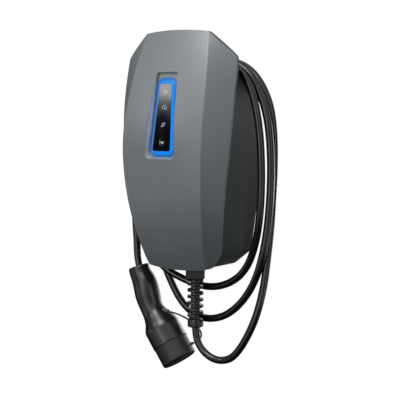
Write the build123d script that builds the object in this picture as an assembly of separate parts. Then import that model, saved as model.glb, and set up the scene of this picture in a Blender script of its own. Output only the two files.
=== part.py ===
from build123d import *
import os
from math import cos, pi, radians, sin, tan

os.makedirs("parts", exist_ok=True)

# A wall-mounted charging station with its own cable, in millimetres.
# The wall is the plane y = 0, the front looks towards -Y and +Z is up.
# The origin is the middle of the wall bracket's bolt pattern.

# Case outline, seen from the front
CASE_TOP = 193.0  # crown of the top edge
CASE_BOTTOM = -193.0  # lowest point of the bottom edge
EDGE_RISE = 3.5  # rise of the top and bottom arcs over their ends
WIDEST_Z = 75.0
WIDEST_HALF = 106.6
TOP_CUT = 47.3  # width of each cut top corner
BOTTOM_CUT = 51.6  # width of each cut bottom corner
SHOULDER_DROP = 43.0  # the cut top corner meets the side this far below the crown
FOOT_RISE = 30.0  # the side meets the cut bottom corner this far above the lowest point
SHOULDER_DRAW = 1.6  # how far the side draws in from the widest height to the shoulder
WAIST_DRAW = 4.3  # how far it draws in from the widest height to z = 0
WAIST_POWER = 1.62
SHOULDER_R = 9.0
FOOT_R = 16.0
END_R = 9.0
OUTLINE_LEAST_R = 2.0  # corners of an outline that is drawn in by more than their radius
CORNER_SHARE = 0.43  # an inset moves the ends of a cut corner by this share of it

# Front face: a crowned middle panel between two long creases, and a facet down each side
PANEL_DEPTH = 126.0  # wall to crease at the deepest height
PANEL_TOP_DEPTH = 78.0
PANEL_BOTTOM_DEPTH = 80.0
PANEL_DEEPEST_Z = 5.0
PANEL_UPPER_POWER = 1.53
PANEL_LOWER_POWER = 2.2
FACET_WIDTH = 30.4  # from the side to the crease where both are widest
PANEL_WIDEST_Z = 20.0
PANEL_CROWN = 5.5  # bulge of the middle panel between its creases
CREASE_R = 5.0
FACET_DEPTH = 88.7  # wall to the facet's outer edge at its deepest height
FACET_DEEPEST_Z = -32.0
FACET_UPPER_DROP = 21.7
FACET_UPPER_SPAN = 182.0
FACET_LOWER_DROP = 16.7
FACET_LOWER_SPAN = 132.0
FACET_LOWER_POWER = 2.3
COVER_WALL = 3.0
COVER_FLANGE = 4.0  # depth of the cover's side behind the facet
TOP_SWEEP = 22.5  # how far the cover's rear edge comes forward again at its top
TOP_SWEEP_DROP = 48.0  # below the crown, where it starts to
TOP_SWEEP_POWER = 1.5

# Rear housing
HOUSING_INSET = 1.5  # the housing stands back from the cover's outline by this much
HOUSING_WALL = 3.0
HOUSING_LIP = 3.0  # thickness of the lip behind the gasket, round the narrower pan
PAN_INSET = 10.0  # the pan's walls stand back from the cover's outline by this much
PAN_DEPTH = 15.0  # the upper pan, in front of the cable saddle, behind the cover's shoulder
SADDLE_DROP = 52.0  # crown of the arched saddle that carries the cable, below the case's crown
SADDLE_R = 252.0
SADDLE_CORNER_R = 48.0
GASKET_THICK = 1.5
GASKET_INSET = 2.0
GASKET_WIDTH = 2.4

# Display recess, in a plane that leans back
DISPLAY_SINK = 8.1  # middle of the window behind the deepest crease
DISPLAY_Z = 54.5
DISPLAY_LEAN = 7.74
WINDOW_LENGTH = 106.9
WINDOW_HALF_TOP = 11.5
WINDOW_HALF_BOTTOM = 17.2
WINDOW_R = 4.0
WINDOW_LEAST_R = 0.8  # corner of the smallest outline drawn in from the window
WINDOW_THICK = 2.0
WINDOW_EDGE_R = 0.4
WINDOW_FIT = 0.15
WINDOW_LEDGE = 2.0
RING_RIM = 0.6  # land of the light ring round the window
RING_FOOT_WIDTH = 6.9  # spread of the ring's sloped wall at the sides
RING_FOOT_TOP = 10.8  # spread at its upper end
RING_FOOT_BOTTOM = 8.3
RING_R = 12.0
RECESS_FLOOR = 5.5  # recess floor behind the window's face
RECESS_TOP_SPACE = 18.55  # recess past the window's upper end
RECESS_BOTTOM_SPACE = 13.05
RECESS_SIDE_TOP_SPACE = 9.5  # recess past the window's sides, at its upper end
RECESS_SIDE_BOTTOM_SPACE = 12.8
RECESS_R_TOP = 2.5
RECESS_FOOT_GAP = 0.5  # between the recess's sloped walls and the ring's foot
RECESS_SLOPE_RISE = 4.0  # the walls slope up to here, in front of the window's face
RECESS_R_BOTTOM = 9.0
MODULE_FIT = 0.5
STAKE_R = 1.5
STAKE_RISE = 1.2

# Boards and what they carry
BOARD_THICK = 1.6
BOARD_EDGE_GAP = 10.9  # between the board and the housing's side wall
BOARD_TOP_DROP = 49.0  # below the saddle's crown
BOARD_BOTTOM_RISE = 65.0  # above the lowest point of the case
BOARD_R = 3.0
BOARD_STANDOFF = 8.5
BOARD_HOLE_INSET = 6.0
BOARD_SCREW_R = 1.5
BOARD_SCREW_HEAD_R = 2.9
BOARD_SCREW_HEAD = 2.2
BOARD_SCREW_BITE = 6.0
BOARD_SCREW_SPACE = 1.0  # free depth under the screw's tip
BLOCK_R = 1.5  # corners of the blocks on the board
STANDOFF_R = 4.2
SCREW_FIT = 0.1
HOLE_FIT = 0.25
RELAY_SIZE = (30.0, 26.0, 50.0)
RELAY_PLACES = ((-44.0, 84.0), (-8.0, 84.0))  # across, and above the board's lower edge
SENSOR_R = 20.0
SENSOR_BORE_R = 10.0
SENSOR_HEIGHT = 18.0
SENSOR_ROUND = 2.5
SENSOR_PLACE = (42.0, 84.0)
SUPPLY_MODULE_SIZE = (52.0, 24.0, 40.0)
SUPPLY_MODULE_PLACE = (-36.0, 160.0)
CONTROL_MODULE_SIZE = (42.0, 4.0, 56.0)
CONTROL_MODULE_PLACE = (34.0, 164.0)
TERMINAL_PITCH = 14.0
TERMINAL_DEPTH = 28.0
TERMINAL_HEIGHT = 24.0
TERMINAL_RISE = 24.0  # above the board's lower edge
TERMINAL_SCREW_R = 2.6
TERMINAL_WELL_R = 3.4
TERMINAL_WELL_DEPTH = 16.0
TERMINAL_SCREW_LENGTH = 5.0
TERMINAL_SLOT_WIDTH = 0.9
TERMINAL_SLOT_DEPTH = 1.0
TERMINAL_ENTRY_R = 4.2
TERMINAL_ENTRY_DEPTH = 14.0
TERMINAL_ENTRY_FLOOR = 2.0  # wall between the board and the wire entry
SUPPLY_POLES = 5
SUPPLY_TERMINAL_X = -28.0
OUTPUT_POLES = 3
OUTPUT_TERMINAL_X = 42.0
EARTH_BAR_SIZE = (64.0, 6.0, 9.0)
EARTH_BAR_R = 1.0
EARTH_BAR_DROP = 10.0  # below the board's lower edge
EARTH_SCREW_INSET = 5.4  # outer screws from the bar's ends
EARTH_SCREW_COUNT = 5

# Cover screws
COVER_SCREW_UPPER_INSET = 32.6  # from the widest part of the side
COVER_SCREW_UPPER_DROP = 43.0  # below the crown of the top edge
COVER_SCREW_LOWER_INSET = 58.6
COVER_SCREW_LOWER_RISE = 27.0  # above the lowest point of the bottom edge
COVER_SCREW_R = 2.0
COVER_SCREW_HEAD_R = 3.8
COVER_SCREW_HEAD = 2.6
COVER_SCREW_BITE = 12.0  # length of the screw in the cover's boss
COVER_BOSS_R = 5.5
TUNNEL_R = 7.0
TUNNEL_WEB = 5.0  # wall under the screw's head
TUNNEL_BORE_R = 4.6

# Wall bracket
BRACKET_THICK = 2.5
BRACKET_SIDE_EDGE = 15.0  # bolt holes to the plate's sides
BRACKET_END_EDGE = 20.0  # bolt holes to the plate's ends
BRACKET_R = 12.0
BOLT_SPACING_X = 100.0
BOLT_SPACING_Z = 140.0
BOLT_HOLE_R = 3.25
HOOK_X = 36.0
HOOK_Z = 58.0
HOOK_WIDTH = 20.0
HOOK_LIP = 8.0
HOOK_FIT = 0.3
LOCK_SCREW_Z = -70.0
LOCK_SCREW_R = 2.5
LOCK_SCREW_HEAD_R = 4.6
LOCK_SCREW_HEAD = 3.2
GROMMET_RISE = 31.0  # above the lowest point of the bottom edge
GROMMET_R = 16.0
GROMMET_LIP = 2.5
GROMMET_BORE_R = 9.0
GROMMET_MEMBRANE = 1.0

# Cable outlet
OUTLET_Y = -28.5
OUTLET_DROP = 0.5  # flat seat for the gland below the lowest point of the case
OUTLET_SEAT_RISE = 1.0  # seat for the lock nut above the housing's inner floor
GLAND_R = 12.5
GLAND_FLANGE_AF = 31.0
GLAND_FLANGE_HEIGHT = 6.0
GLAND_SEAL_INSET = 2.0  # from the seat's edge
GLAND_SEAL_THICK = 1.5
GLAND_SEAT_R = 18.5
GLAND_INNER_LENGTH = 14.0
GLAND_WALL = 2.0
LOCK_NUT_AF = 31.0
LOCK_NUT_HEIGHT = 6.0
GLAND_NUT_AF = 29.0
GLAND_NUT_HEIGHT = 15.0
GLAND_NUT_CHAMFER = 2.0
RELIEF_RIB_R = 12.0
RELIEF_CORE_R = 7.8
RELIEF_RIB_PITCH = 10.8
RELIEF_RIB_THICK = 5.0
RELIEF_RIBS_A_SIDE = 6
RELIEF_RIB_ROUND = 1.4
RELIEF_TURN = 34.0  # bearing of the rib rows about the outlet's axis
RELIEF_COLLAR_R = 11.75
RELIEF_COLLAR_LENGTH = 14.0
RELIEF_COLLAR_ROUND = 2.0
CABLE_SOCKET = 8.0
CABLE_R = 6.25
CABLE_FIT = 0.25
CABLE_ENTRY = 10.0  # straight run of the cable behind the grip

# Connector on the cable's end: a grip, a shouldered nose and a pull-off cap
SEAM_POINT = (-46.5, -36.0, -329.0)  # middle of the nose's front face
NOSE_LEAN = 35.0
NOSE_LENGTH = 64.5
HANDLE_LEAN = 21.4
HANDLE_LENGTH = 79.0
HANDLE_TOP_R = 17.8
HANDLE_TOP_ROUND = 3.5
HANDLE_UPPER_R = 20.2
HANDLE_UPPER_AT = 22.0
HANDLE_GRIP_R = 22.0
HANDLE_GRIP_AT = 44.0
NECK_R = 20.0
NECK_END_AT = 55.0  # where the neck starts to swell into the nose, behind its front face
NECK_END_R = 21.4
NOSE_SHOULDER_AT = 37.0  # the nose's rounded shoulder
NOSE_SHOULDER_R = 28.8
NOSE_RIM = 3.2  # wall of the nose round the shroud
NOSE_COLLAR = 28.0  # straight part of the nose
SHROUD_R = 28.0
SHROUD_WALL = 2.6
SHROUD_FLAT_CUT = 4.5  # depth of the flat that keys the plug
SHROUD_LENGTH = 28.0
SHROUD_SEAT = 12.0
SHROUD_FIT = 0.3
CARRIER_GAP = 4.4  # between the carrier and the shroud, where the inlet goes
CARRIER_FLAT_CUT = 3.5
CARRIER_FACE = 24.0  # contact face in front of the nose
PIN_EDGE = 2.6  # wall between a power sleeve and the carrier's edge
POWER_PIN_ANGLES = (90.0, 150.0, 210.0, 270.0)
SIGNAL_PIN_ANGLES = (30.0, -30.0)
POWER_SLEEVE_R = 4.4
POWER_BORE_R = 3.0
SIGNAL_SLEEVE_R = 2.9
SIGNAL_BORE_R = 1.5
SLEEVE_LENGTH = 20.0
SLEEVE_SINK = 2.0
SLEEVE_FLOOR = 2.0
SEAL_THICK = 1.5
SEAL_WIDTH = 2.4
CAP_WALL = 1.85
CAP_LENGTH = 33.0
CAP_FLOOR = 2.6
CAP_END_R = 4.0
CAP_FIT = 0.35
TETHER_R = 1.5
TETHER_EAR_R = 3.4
TETHER_EAR_LENGTH = 14.0
TETHER_BOSS_LENGTH = 9.0
TETHER_BOSS_R = 2.6
CAP_GAP = 0.125  # between the seal and the cap's mouth

# Cable route between the outlet and the grip, worked from the outlet
CABLE_ROUTE = (
    # the low loop, and up the right side next to the wall
    (0.0, -28.5, -313.0),
    (11.5, -28.5, -334.5),
    (31.5, -28.2, -347.5),
    (55.5, -27.6, -349.0),
    (77.0, -26.5, -338.0),
    (100.0, -24.5, -303.0),
    (116.0, -21.0, -264.0),
    (125.0, -16.0, -220.0),
    (128.5, -12.0, -178.0),
    (133.5, -10.0, -125.0),
    (137.5, -10.0, -72.0),
    (140.0, -10.0, -20.0),
    (139.0, -10.0, 28.0),
    (133.0, -10.0, 71.0),
    (117.0, -10.0, 105.0),
    (97.0, -10.0, 128.5),
    (73.0, -10.0, 141.5),
    (43.0, -10.0, 147.0),
    (10.0, -10.0, 148.5),
    (-25.0, -10.0, 148.0),
    (-60.0, -10.0, 146.0),
    (-87.5, -10.0, 136.5),
    (-107.5, -10.0, 117.0),
    (-117.0, -10.0, 90.0),
    (-120.0, -10.0, 54.0),
    (-120.0, -10.0, 14.0),
    (-118.5, -10.0, -28.0),
    (-115.5, -10.0, -80.0),
    (-108.5, -10.0, -124.0),
    (-97.0, -9.6, -161.0),
    (-85.5, -9.3, -187.0),
    (-74.5, -9.0, -209.0),
    (-63.5, -8.6, -231.0),
    (-49.5, -8.2, -254.0),
    (-33.5, -7.8, -271.0),
    (-16.0, -7.5, -281.5),
    # the middle loop, behind the strain relief, and up the right side
    (3.0, -7.4, -286.0),
    (24.0, -7.6, -284.5),
    (47.5, -8.4, -276.0),
    (70.0, -10.5, -260.0),
    (90.5, -14.5, -239.0),
    (108.5, -19.5, -214.0),
    (122.0, -23.5, -185.0),
    (132.5, -24.5, -145.0),
    (139.0, -24.5, -96.0),
    (142.0, -24.5, -44.0),
    (141.0, -24.5, 6.0),
    (136.0, -24.4, 48.0),
    (126.0, -24.2, 82.0),
    (111.0, -24.0, 112.0),
    (94.0, -24.0, 131.0),
    (71.0, -24.0, 142.5),
    (41.0, -24.0, 147.4),
    (8.0, -24.0, 148.8),
    (-27.0, -24.0, 148.2),
    (-61.0, -24.0, 146.0),
    (-88.0, -24.0, 136.5),
    (-107.5, -24.0, 117.0),
    (-117.0, -24.0, 90.0),
    (-120.0, -24.0, 54.0),
    (-120.5, -24.0, 14.0),
    (-119.5, -24.0, -28.0),
    (-117.0, -24.0, -80.0),
    (-111.5, -24.0, -124.0),
    (-102.0, -24.0, -160.0),
    (-86.0, -24.0, -190.0),
    (-62.0, -22.5, -208.0),
    (-37.0, -15.0, -220.5),
    # the short loop, behind the strain relief, and up the right side
    (-12.0, -8.6, -229.0),
    (13.0, -7.4, -231.5),
    (37.0, -8.0, -227.5),
    (60.0, -10.0, -218.0),
    (82.0, -13.5, -202.5),
    (101.5, -19.0, -177.5),
    (116.0, -25.2, -143.5),
    (126.0, -31.5, -104.0),
    (131.5, -36.2, -58.0),
    (132.0, -38.0, -10.0),
    (128.5, -38.0, 36.0),
    (119.5, -38.0, 81.0),
    (107.0, -38.0, 112.0),
    (91.0, -38.0, 131.0),
    (69.0, -38.0, 142.8),
    (39.0, -38.0, 147.6),
    (6.0, -38.0, 149.0),
    (-28.0, -38.0, 148.4),
    (-61.5, -38.0, 146.0),
    (-88.0, -38.0, 136.5),
    (-107.0, -38.0, 117.0),
    (-116.5, -38.0, 90.0),
    (-119.5, -38.0, 54.0),
    (-120.0, -38.0, 14.0),
    (-119.5, -38.4, -28.0),
    (-119.0, -38.6, -80.0),
    (-117.8, -38.4, -124.0),
    (-116.0, -37.2, -156.0),
)

# Cap tether, from the ear on the nose round behind the cable to the cap
TETHER_ROUTE = (
    (-50.0, -36.0, -276.0),
    (-36.0, -33.5, -278.0),
    (-22.5, -27.0, -284.5),
    (-10.5, -19.0, -293.5),
    (-1.5, -14.0, -304.0),
    (2.5, -12.8, -315.0),
    (-2.5, -15.0, -325.0),
    (-11.6, -19.5, -329.0),
)

# Sizes that are worked out
TOP_HALF = WIDEST_HALF - TOP_CUT
BOTTOM_HALF = WIDEST_HALF - BOTTOM_CUT
SHOULDER_Z = CASE_TOP - SHOULDER_DROP
FOOT_Z = CASE_BOTTOM + FOOT_RISE
PANEL_HALF = WIDEST_HALF - FACET_WIDTH
SADDLE_TOP = CASE_TOP - SADDLE_DROP
PAN_BACK_Y = -FACET_DEPTH + FACET_UPPER_DROP + COVER_FLANGE + PAN_DEPTH
DISPLAY_Y = -PANEL_DEPTH + DISPLAY_SINK
RECESS_TOP = WINDOW_LENGTH / 2 + RECESS_TOP_SPACE
RECESS_BOTTOM = -WINDOW_LENGTH / 2 - RECESS_BOTTOM_SPACE
RECESS_HALF_TOP = WINDOW_HALF_TOP + RECESS_SIDE_TOP_SPACE
RECESS_HALF_BOTTOM = WINDOW_HALF_BOTTOM + RECESS_SIDE_BOTTOM_SPACE
BOARD_TOP = SADDLE_TOP - BOARD_TOP_DROP
BOARD_BOTTOM = CASE_BOTTOM + BOARD_BOTTOM_RISE
TERMINAL_Z = BOARD_BOTTOM + TERMINAL_RISE
EARTH_BAR_Z = BOARD_BOTTOM - EARTH_BAR_DROP
BRACKET_WIDTH = BOLT_SPACING_X + 2 * BRACKET_SIDE_EDGE
BRACKET_HEIGHT = BOLT_SPACING_Z + 2 * BRACKET_END_EDGE
NOSE_R = SHROUD_R + NOSE_RIM
SHROUD_FLAT = SHROUD_R - SHROUD_FLAT_CUT
CARRIER_R = SHROUD_R - SHROUD_WALL - CARRIER_GAP
CARRIER_FLAT = CARRIER_R - CARRIER_FLAT_CUT
PIN_CIRCLE_R = CARRIER_R - PIN_EDGE - POWER_SLEEVE_R
CAP_R = SHROUD_R + CAP_FIT + CAP_WALL
HOUSING_BACK_Y = -BRACKET_THICK
HOUSING_FLOOR_Y = HOUSING_BACK_Y - HOUSING_WALL
BOARD_BACK_Y = HOUSING_FLOOR_Y - BOARD_STANDOFF
BOARD_FRONT_Y = BOARD_BACK_Y - BOARD_THICK
OUTLET_FACE_Z = CASE_BOTTOM - OUTLET_DROP
OUTLET_INNER_Z = CASE_BOTTOM + HOUSING_INSET + HOUSING_WALL + OUTLET_SEAT_RISE
GLAND_SEAL_R = GLAND_SEAT_R - GLAND_SEAL_INSET
GLAND_FLANGE_Z = OUTLET_FACE_Z - GLAND_SEAL_THICK
RELIEF_TOP_Z = GLAND_FLANGE_Z - GLAND_FLANGE_HEIGHT
RELIEF_RIBS_Z = RELIEF_TOP_Z - GLAND_NUT_HEIGHT
RELIEF_END_Z = RELIEF_RIBS_Z - RELIEF_RIB_PITCH * RELIEF_RIBS_A_SIDE - RELIEF_RIB_THICK / 2
GROMMET_PLACE = (0.0, CASE_BOTTOM + GROMMET_RISE)
TUB_DEPTH = RECESS_FLOOR + COVER_WALL  # back of the recess floor behind the window's face
HOOK_SLOT_HEIGHT = HOOK_LIP + BRACKET_THICK * 2
SHROUD_FLOOR = SHROUD_WALL - SHROUD_SEAT  # seat of the carrier, from the nose's front face
SLEEVE_FOOT = CARRIER_FACE - SLEEVE_LENGTH - SLEEVE_SINK
CAP_START = SEAL_THICK + CAP_GAP

# Drawing aids
FAR_Y = -PANEL_DEPTH - PANEL_CROWN  # in front of every piece of the case
SPARE = 20.0  # how far a large cutting shape runs past what it cuts
PAST = 1.0  # how far a hole is cut past the faces that it opens
NEAR = 0.01  # how close two points count as one
FORM_STEPS = 10  # spans of the lofted front
PARTING_STEPS = 16  # spans of the curved parting line
ARC_SHARE = 0.45  # share of a cord's run that the arc at each of its ends takes up

display = Plane(
    origin=(0, DISPLAY_Y, DISPLAY_Z),
    x_dir=(1, 0, 0),
    z_dir=(0, -cos(radians(DISPLAY_LEAN)), sin(radians(DISPLAY_LEAN))),
)
nose = Plane(
    origin=SEAM_POINT,
    x_dir=(cos(radians(NOSE_LEAN)), 0, sin(radians(NOSE_LEAN))),
    z_dir=(sin(radians(NOSE_LEAN)), 0, -cos(radians(NOSE_LEAN))),
)
neck_point = nose.origin - nose.z_dir * NOSE_LENGTH
handle_dir = Vector(sin(radians(HANDLE_LEAN)), 0, -cos(radians(HANDLE_LEAN)))
handle = Plane(
    origin=neck_point - handle_dir * HANDLE_LENGTH,
    x_dir=(cos(radians(HANDLE_LEAN)), 0, sin(radians(HANDLE_LEAN))),
    z_dir=handle_dir,
)


def side_half(z):
    """Half width of the case at a height."""
    if z > WIDEST_Z:
        return WIDEST_HALF - SHOULDER_DRAW * ((z - WIDEST_Z) / (SHOULDER_Z - WIDEST_Z)) ** 2
    return WIDEST_HALF - WAIST_DRAW * ((WIDEST_Z - z) / WIDEST_Z) ** WAIST_POWER


def panel_crease(z):
    """Half width and y of the crease beside the middle panel at a height."""
    upper = z > PANEL_DEEPEST_Z
    reach = (CASE_TOP if upper else CASE_BOTTOM) - PANEL_DEEPEST_Z
    edge = PANEL_TOP_DEPTH if upper else PANEL_BOTTOM_DEPTH
    power = PANEL_UPPER_POWER if upper else PANEL_LOWER_POWER
    depth = PANEL_DEPTH - (PANEL_DEPTH - edge) * ((z - PANEL_DEEPEST_Z) / reach) ** power
    wide_up = z > PANEL_WIDEST_Z
    wide_reach = (CASE_TOP if wide_up else CASE_BOTTOM) - PANEL_WIDEST_Z
    end_half = TOP_HALF if wide_up else BOTTOM_HALF
    half = PANEL_HALF - (PANEL_HALF - end_half) * ((z - PANEL_WIDEST_Z) / wide_reach) ** 2
    return half, -depth


def facet_edge_y(z):
    """Where the side facet meets the side wall at a height."""
    rise = z - FACET_DEEPEST_Z
    if rise > 0:
        return -FACET_DEPTH + FACET_UPPER_DROP * (rise / FACET_UPPER_SPAN) ** 2
    return -FACET_DEPTH + FACET_LOWER_DROP * (-rise / FACET_LOWER_SPAN) ** FACET_LOWER_POWER


def along_y(sketch, back_y, front_y):
    """A sketch of the XZ plane drawn out between two depths."""
    return extrude(Plane.XZ.offset(-back_y) * sketch, amount=back_y - front_y)


def rod_y(x, z, radius, back_y, front_y):
    return along_y(Pos(x, z) * Circle(radius), back_y, front_y)


def rod_z(x, y, radius, low_z, high_z):
    return extrude(Plane.XY.offset(low_z) * Pos(x, y) * Circle(radius), amount=high_z - low_z)


def hexagon_z(x, y, across_flats, low_z, high_z):
    sketch = RegularPolygon(across_flats / 2, 6, major_radius=False)
    return extrude(Plane.XY.offset(low_z) * Pos(x, y) * sketch, amount=high_z - low_z)


def box_on_board(place, size):
    """A block on the front of the main board, its size given as x, y and z."""
    x, rise = place
    across, deep, tall = size
    sketch = Pos(x, BOARD_BOTTOM + rise) * RectangleRounded(across, tall, BLOCK_R)
    return along_y(sketch, BOARD_FRONT_Y, BOARD_FRONT_Y - deep)


def outline(inset=0.0):
    """The case's front outline, drawn in by an inset."""
    top = CASE_TOP - inset
    bottom = CASE_BOTTOM + inset
    share = CORNER_SHARE * inset
    top_end = (TOP_HALF - share, top - EDGE_RISE)
    shoulder = (side_half(SHOULDER_Z) - inset, SHOULDER_Z - share)
    widest = (WIDEST_HALF - inset, WIDEST_Z)
    waist = (side_half(0.0) - inset, 0.0)
    foot = (side_half(FOOT_Z) - inset, FOOT_Z + share)
    bottom_end = (BOTTOM_HALF - share, bottom + EDGE_RISE)
    upper_side = ThreePointArc(shoulder, widest, waist)
    right = Curve() + [
        Line(top_end, shoulder),
        upper_side,
        TangentArc(waist, foot, tangent=upper_side % 1),
        Line(foot, bottom_end),
    ]
    ends = [
        ThreePointArc((-top_end[0], top_end[1]), (0, top), top_end),
        ThreePointArc(bottom_end, (0, bottom), (-bottom_end[0], bottom_end[1])),
    ]
    face = make_face(Curve() + [right, mirror(right, about=Plane.YZ)] + ends)

    def corners(z):
        return face.vertices().filter_by(lambda v: abs(v.Y - z) < NEAR)

    rounds = (top_end, END_R), (shoulder, SHOULDER_R), (foot, FOOT_R), (bottom_end, END_R)
    for corner, radius in rounds:
        face = fillet(corners(corner[1]), max(radius - inset, OUTLINE_LEAST_R))
    return face


def saddle_outline(inset=0.0):
    """The outline of the deep part of the housing, with an arched top under the cable."""
    crown = SADDLE_TOP - inset
    radius = SADDLE_R - inset
    half = WIDEST_HALF + SPARE
    drop = radius - (radius**2 - half**2) ** 0.5
    arch = ThreePointArc((-half, crown - drop), (0, crown), (half, crown - drop))
    low = CASE_BOTTOM - SPARE
    below = make_face(
        Curve() + [arch, Polyline((half, crown - drop), (half, low), (-half, low), (-half, crown - drop))]
    )
    face = outline(HOUSING_INSET + inset) & below
    top_corners = face.vertices().group_by(Axis.Y)[-1]
    return fillet(top_corners, SADDLE_CORNER_R - inset)


def front_section(z, inset):
    """A level cut through the front: crowned panel, two facets, and straight sides."""
    half, panel_y = panel_crease(z)
    half -= inset / 2
    panel_y += inset
    edge_half = side_half(z) - inset / 2
    edge_y = facet_edge_y(z) + inset
    slope = (edge_y - panel_y) / (edge_half - half)
    far_half = edge_half + SPARE
    far_y = edge_y + slope * SPARE
    panel = ThreePointArc((-half, panel_y), (0, panel_y - PANEL_CROWN), (half, panel_y))
    rest = Polyline(
        (half, panel_y),
        (far_half, far_y),
        (far_half, SPARE),
        (-far_half, SPARE),
        (-far_half, far_y),
        (-half, panel_y),
    )
    face = make_face(Curve() + [panel, rest])
    creases = face.vertices().filter_by(lambda v: abs(v.Y - panel_y) < NEAR)
    return Plane.XY.offset(z) * fillet(creases, CREASE_R)


def front_form(inset=0.0):
    """Everything behind the front face, drawn in by an inset."""
    low = CASE_BOTTOM - PAST
    step = (CASE_TOP + PAST - low) / FORM_STEPS
    return loft([front_section(low + step * k, inset) for k in range(FORM_STEPS + 1)])


def parting_y(z):
    """The cover's rear edge at a height."""
    rise = max(z - CASE_TOP + TOP_SWEEP_DROP, 0.0)
    return facet_edge_y(z) + COVER_FLANGE - TOP_SWEEP * (rise / TOP_SWEEP_DROP) ** TOP_SWEEP_POWER


def before_parting(shift=0.0):
    """Everything in front of the cover's rear edge, which follows the facet's edge."""
    low = CASE_BOTTOM - SPARE
    step = (CASE_TOP + SPARE - low) / PARTING_STEPS
    heights = [low + step * k for k in range(PARTING_STEPS + 1)]
    points = [(parting_y(z) + shift, z) for z in heights]
    far_y = FAR_Y - SPARE
    closing = Polyline(points[-1], (far_y, heights[-1]), (far_y, heights[0]), points[0])
    face = make_face(Curve() + [Spline(points), closing])
    return extrude(Plane.YZ * face, amount=WIDEST_HALF + SPARE, both=True)


def tapered(bottom, top, half_bottom, half_top, r_bottom, r_top):
    """An upright trapezoid with rounded corners, in the display's plane."""
    face = make_face(
        Polyline((-half_bottom, bottom), (half_bottom, bottom), (half_top, top), (-half_top, top), close=True)
    )
    face = fillet(face.vertices().group_by(Axis.Y)[0], r_bottom)
    return fillet(face.vertices().group_by(Axis.Y)[-1], r_top)


def window_outline(grow=0.0):
    half_length = WINDOW_LENGTH / 2 + grow
    radius = max(WINDOW_R + grow, WINDOW_LEAST_R)
    half_bottom = WINDOW_HALF_BOTTOM + grow
    half_top = WINDOW_HALF_TOP + grow
    return tapered(-half_length, half_length, half_bottom, half_top, radius, radius)


def recess_outline(grow=0.0):
    return tapered(
        RECESS_BOTTOM - grow,
        RECESS_TOP + grow,
        RECESS_HALF_BOTTOM + grow,
        RECESS_HALF_TOP + grow,
        RECESS_R_BOTTOM + grow,
        RECESS_R_TOP + grow,
    )


def recess_floor_outline():
    """The recess where its sloped walls end, close round the light ring's foot."""
    return tapered(
        -WINDOW_LENGTH / 2 - RING_FOOT_BOTTOM - RECESS_FOOT_GAP,
        RECESS_TOP,
        WINDOW_HALF_BOTTOM + RING_FOOT_WIDTH + RECESS_FOOT_GAP,
        WINDOW_HALF_TOP + RING_FOOT_WIDTH + RECESS_FOOT_GAP,
        RING_R,
        RECESS_R_TOP,
    )


def on_display(sketch, depth, height):
    """A sketch drawn out towards the viewer from a depth behind the window's face."""
    return extrude(display.offset(-depth) * sketch, amount=height)


def cover_screw_places():
    """Where each cover screw is, and the depth at which its tunnel opens."""
    upper = (WIDEST_HALF - COVER_SCREW_UPPER_INSET, CASE_TOP - COVER_SCREW_UPPER_DROP, PAN_BACK_Y)
    lower = (WIDEST_HALF - COVER_SCREW_LOWER_INSET, CASE_BOTTOM + COVER_SCREW_LOWER_RISE, HOUSING_BACK_Y)
    return [(side * x, z, back_y) for x, z, back_y in (upper, lower) for side in (1, -1)]


def screw_seat_y(z):
    """Front of the housing's boss under a cover screw."""
    return parting_y(z) + GASKET_THICK


def stake_places():
    half_x = (RECESS_HALF_TOP + WINDOW_HALF_TOP) / 2
    half_z = WINDOW_LENGTH / 2
    return [(side * half_x, end * half_z) for side in (1, -1) for end in (1, -1)]


def make_front_cover():
    outer = along_y(outline(), 0, FAR_Y) & front_form() & before_parting()
    hollow = along_y(outline(COVER_WALL), SPARE, FAR_Y) & front_form(COVER_WALL)
    tub = on_display(recess_outline(COVER_WALL), TUB_DEPTH, TUB_DEPTH + SPARE) & outer
    bosses = Part()
    pilots = Part()
    for x, z, _ in cover_screw_places():
        start = parting_y(z)
        bosses += rod_y(x, z, COVER_BOSS_R, start, FAR_Y) & outer
        pilots += rod_y(x, z, COVER_SCREW_R + SCREW_FIT, start + PAST, start - COVER_SCREW_BITE - PAST)
    stakes = Part()
    for x, v in stake_places():
        length = BOARD_THICK + STAKE_RISE
        stakes += on_display(Pos(x, v) * Circle(STAKE_R), TUB_DEPTH + length, length)
    floor = display.offset(-RECESS_FLOOR) * recess_floor_outline()
    recess = loft([floor, display.offset(RECESS_SLOPE_RISE) * recess_outline()])
    recess += on_display(recess_outline(), -RECESS_SLOPE_RISE, SPARE)
    opening = on_display(window_outline(-WINDOW_LEDGE), TUB_DEPTH + PAST, TUB_DEPTH + PAST)
    return outer - hollow + tub + bosses + stakes - recess - opening - pilots


def make_light_ring():
    foot = tapered(
        -WINDOW_LENGTH / 2 - RING_FOOT_BOTTOM,
        WINDOW_LENGTH / 2 + RING_FOOT_TOP,
        WINDOW_HALF_BOTTOM + RING_FOOT_WIDTH,
        WINDOW_HALF_TOP + RING_FOOT_WIDTH,
        RING_R,
        RING_R,
    )
    body = loft([display.offset(-RECESS_FLOOR) * foot, display * window_outline(RING_RIM)])
    rabbet = on_display(window_outline(WINDOW_FIT), WINDOW_THICK, WINDOW_THICK + PAST)
    opening = on_display(window_outline(-WINDOW_LEDGE), RECESS_FLOOR + PAST, RECESS_FLOOR + 2 * PAST)
    return body - rabbet - opening


def make_display_window():
    plate = on_display(window_outline(), WINDOW_THICK, WINDOW_THICK)
    rim = plate.faces().sort_by(Axis.Y)[0].edges()
    return fillet(rim, WINDOW_EDGE_R)


def make_display_module():
    height = TUB_DEPTH - WINDOW_THICK - MODULE_FIT
    return on_display(window_outline(-WINDOW_LEDGE - MODULE_FIT), TUB_DEPTH, height)


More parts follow.
